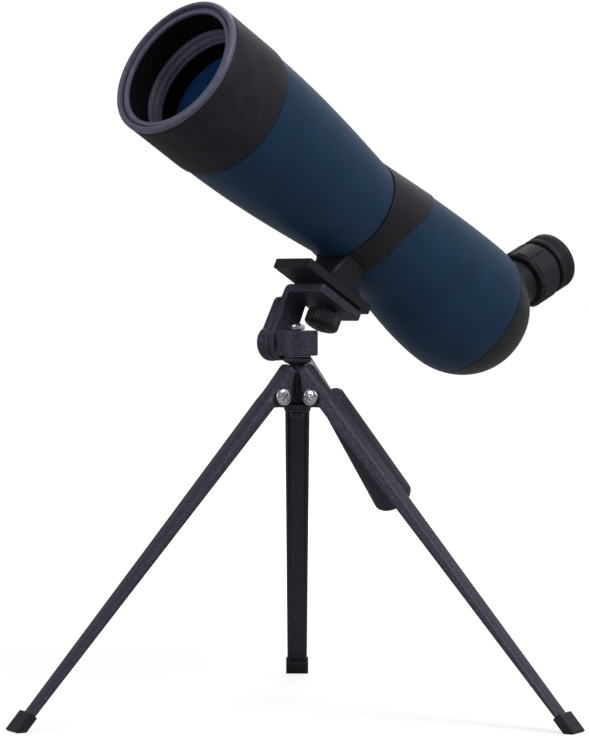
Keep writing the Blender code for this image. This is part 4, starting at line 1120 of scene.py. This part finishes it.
def make_lights():
    """Key from the right, fill from the left, and one from behind."""
    make_light("key", (1.6, -1.5, 2.0), LIGHTS_AIM, 1.2, 34.0, "#FFFFFF")
    make_light("fill", (-1.8, -1.6, 1.0), LIGHTS_AIM, 1.4, 17.0, "#F0F0FF")
    make_light("back", (0.3, 1.8, 1.8), LIGHTS_AIM, 1.4, 16.0, "#FFFFFF")


class SCOPE_OT_inner_parts(bpy.types.Operator):
    """Give the hidden parts their finishes"""
    bl_idname = "scope.inner_parts"
    bl_label = "Inner parts"
    bl_options = {"REGISTER", "UNDO"}

    def execute(self, context):
        finish_inner_parts()
        return {"FINISHED"}


class SCOPE_OT_hood(bpy.types.Operator):
    """Build the hood, its rim and its bore"""
    bl_idname = "scope.hood"
    bl_label = "Hood and rim"
    bl_options = {"REGISTER", "UNDO"}

    def execute(self, context):
        make_hood()
        return {"FINISHED"}


class SCOPE_OT_objective(bpy.types.Operator):
    """Build the objective's rings, lens and baffle"""
    bl_idname = "scope.objective"
    bl_label = "Objective"
    bl_options = {"REGISTER", "UNDO"}

    def execute(self, context):
        make_objective()
        return {"FINISHED"}


class SCOPE_OT_barrel(bpy.types.Operator):
    """Build the tapered barrel"""
    bl_idname = "scope.barrel"
    bl_label = "Barrel"
    bl_options = {"REGISTER", "UNDO"}

    def execute(self, context):
        make_barrel()
        return {"FINISHED"}


class SCOPE_OT_collar(bpy.types.Operator):
    """Build the mounting collar"""
    bl_idname = "scope.collar"
    bl_label = "Collar"
    bl_options = {"REGISTER", "UNDO"}

    def execute(self, context):
        make_collar()
        return {"FINISHED"}


class SCOPE_OT_housing(bpy.types.Operator):
    """Build the prism housing"""
    bl_idname = "scope.housing"
    bl_label = "Prism housing"
    bl_options = {"REGISTER", "UNDO"}

    def execute(self, context):
        make_housing()
        return {"FINISHED"}


class SCOPE_OT_rear_cover(bpy.types.Operator):
    """Build the domed rear cover"""
    bl_idname = "scope.rear_cover"
    bl_label = "Rear cover"
    bl_options = {"REGISTER", "UNDO"}

    def execute(self, context):
        make_rear_cover()
        return {"FINISHED"}


class SCOPE_OT_eyepiece(bpy.types.Operator):
    """Build the eyepiece's neck, tube, cup and lens"""
    bl_idname = "scope.eyepiece"
    bl_label = "Eyepiece"
    bl_options = {"REGISTER", "UNDO"}

    def execute(self, context):
        make_eyepiece()
        return {"FINISHED"}


class SCOPE_OT_zoom_ring(bpy.types.Operator):
    """Build the zoom ring with its pads"""
    bl_idname = "scope.zoom_ring"
    bl_label = "Zoom ring"
    bl_options = {"REGISTER", "UNDO"}

    def execute(self, context):
        make_zoom_ring()
        return {"FINISHED"}


class SCOPE_OT_focus_knob(bpy.types.Operator):
    """Build the focus knob and its cap"""
    bl_idname = "scope.focus_knob"
    bl_label = "Focus knob"
    bl_options = {"REGISTER", "UNDO"}

    def execute(self, context):
        make_focus_knob()
        return {"FINISHED"}


class SCOPE_OT_scope_foot(bpy.types.Operator):
    """Build the pedestal, plate and pad"""
    bl_idname = "scope.scope_foot"
    bl_label = "Scope foot"
    bl_options = {"REGISTER", "UNDO"}

    def execute(self, context):
        make_scope_foot()
        return {"FINISHED"}


class SCOPE_OT_bracket(bpy.types.Operator):
    """Build the platform and its arm"""
    bl_idname = "scope.bracket"
    bl_label = "Tilt bracket"
    bl_options = {"REGISTER", "UNDO"}

    def execute(self, context):
        make_bracket()
        return {"FINISHED"}


class SCOPE_OT_camera_screw(bpy.types.Operator):
    """Build the knurled camera screw"""
    bl_idname = "scope.camera_screw"
    bl_label = "Camera screw"
    bl_options = {"REGISTER", "UNDO"}

    def execute(self, context):
        make_camera_screw()
        return {"FINISHED"}


class SCOPE_OT_pan_head(bpy.types.Operator):
    """Build the pan block and its bolts"""
    bl_idname = "scope.pan_head"
    bl_label = "Pan head"
    bl_options = {"REGISTER", "UNDO"}

    def execute(self, context):
        make_pan_head()
        return {"FINISHED"}


class SCOPE_OT_handle(bpy.types.Operator):
    """Build the handle's rod and grip"""
    bl_idname = "scope.handle"
    bl_label = "Pan handle"
    bl_options = {"REGISTER", "UNDO"}

    def execute(self, context):
        make_handle()
        return {"FINISHED"}


class SCOPE_OT_hub(bpy.types.Operator):
    """Build the cast hub, cap and washer"""
    bl_idname = "scope.hub"
    bl_label = "Hub"
    bl_options = {"REGISTER", "UNDO"}

    def execute(self, context):
        make_hub()
        return {"FINISHED"}


class SCOPE_OT_legs(bpy.types.Operator):
    """Build the three leg channels"""
    bl_idname = "scope.legs"
    bl_label = "Legs"
    bl_options = {"REGISTER", "UNDO"}

    def execute(self, context):
        make_legs()
        return {"FINISHED"}


class SCOPE_OT_pivots(bpy.types.Operator):
    """Build the pivot screws and nuts"""
    bl_idname = "scope.pivots"
    bl_label = "Pivot screws"
    bl_options = {"REGISTER", "UNDO"}

    def execute(self, context):
        make_pivots()
        return {"FINISHED"}


class SCOPE_OT_feet(bpy.types.Operator):
    """Build the rubber feet"""
    bl_idname = "scope.feet"
    bl_label = "Feet"
    bl_options = {"REGISTER", "UNDO"}

    def execute(self, context):
        make_feet()
        return {"FINISHED"}


class SCOPE_OT_stage(bpy.types.Operator):
    """Add the floor, the lights and the camera"""
    bl_idname = "scope.stage"
    bl_label = "Stage"
    bl_options = {"REGISTER", "UNDO"}

    def execute(self, context):
        make_floor()
        make_world()
        make_lights()
        make_camera()
        return {"FINISHED"}


OPERATORS = (
    SCOPE_OT_inner_parts,
    SCOPE_OT_hood,
    SCOPE_OT_objective,
    SCOPE_OT_barrel,
    SCOPE_OT_collar,
    SCOPE_OT_housing,
    SCOPE_OT_rear_cover,
    SCOPE_OT_eyepiece,
    SCOPE_OT_zoom_ring,
    SCOPE_OT_focus_knob,
    SCOPE_OT_scope_foot,
    SCOPE_OT_bracket,
    SCOPE_OT_camera_screw,
    SCOPE_OT_pan_head,
    SCOPE_OT_handle,
    SCOPE_OT_hub,
    SCOPE_OT_legs,
    SCOPE_OT_pivots,
    SCOPE_OT_feet,
    SCOPE_OT_stage,
)


class SCOPE_PT_panel(bpy.types.Panel):
    """Sizes, colours and the steps that build the scope"""
    bl_label = "Spotting scope"
    bl_idname = "SCOPE_PT_panel"
    bl_space_type = "VIEW_3D"
    bl_region_type = "UI"
    bl_category = "Scope"

    def draw(self, context):
        for group in (context.scene.scope_sizes, context.scene.scope_finishes):
            for name in group.bl_rna.properties.keys():
                if name not in ("rna_type", "name"):
                    self.layout.prop(group, name)
        for kind in OPERATORS:
            self.layout.operator(kind.bl_idname)


CLASSES = (ScopeSizes, ScopeFinishes, *OPERATORS, SCOPE_PT_panel)


def register():
    """Registers the classes and hangs the sizes and colours on the scene."""
    for kind in CLASSES:
        bpy.utils.register_class(kind)
    bpy.types.Scene.scope_sizes = bpy.props.PointerProperty(type=ScopeSizes)
    bpy.types.Scene.scope_finishes = bpy.props.PointerProperty(type=ScopeFinishes)


def unregister():
    """Undoes register, in reverse."""
    del bpy.types.Scene.scope_finishes
    del bpy.types.Scene.scope_sizes
    for kind in reversed(CLASSES):
        bpy.utils.unregister_class(kind)


def main():
    """Builds every piece in order."""
    register()
    bpy.context.scene.view_settings.view_transform = "Standard"
    for kind in OPERATORS:
        area, name = kind.bl_idname.split(".")
        getattr(getattr(bpy.ops, area), name)()


if __name__ == "__main__":
    main()
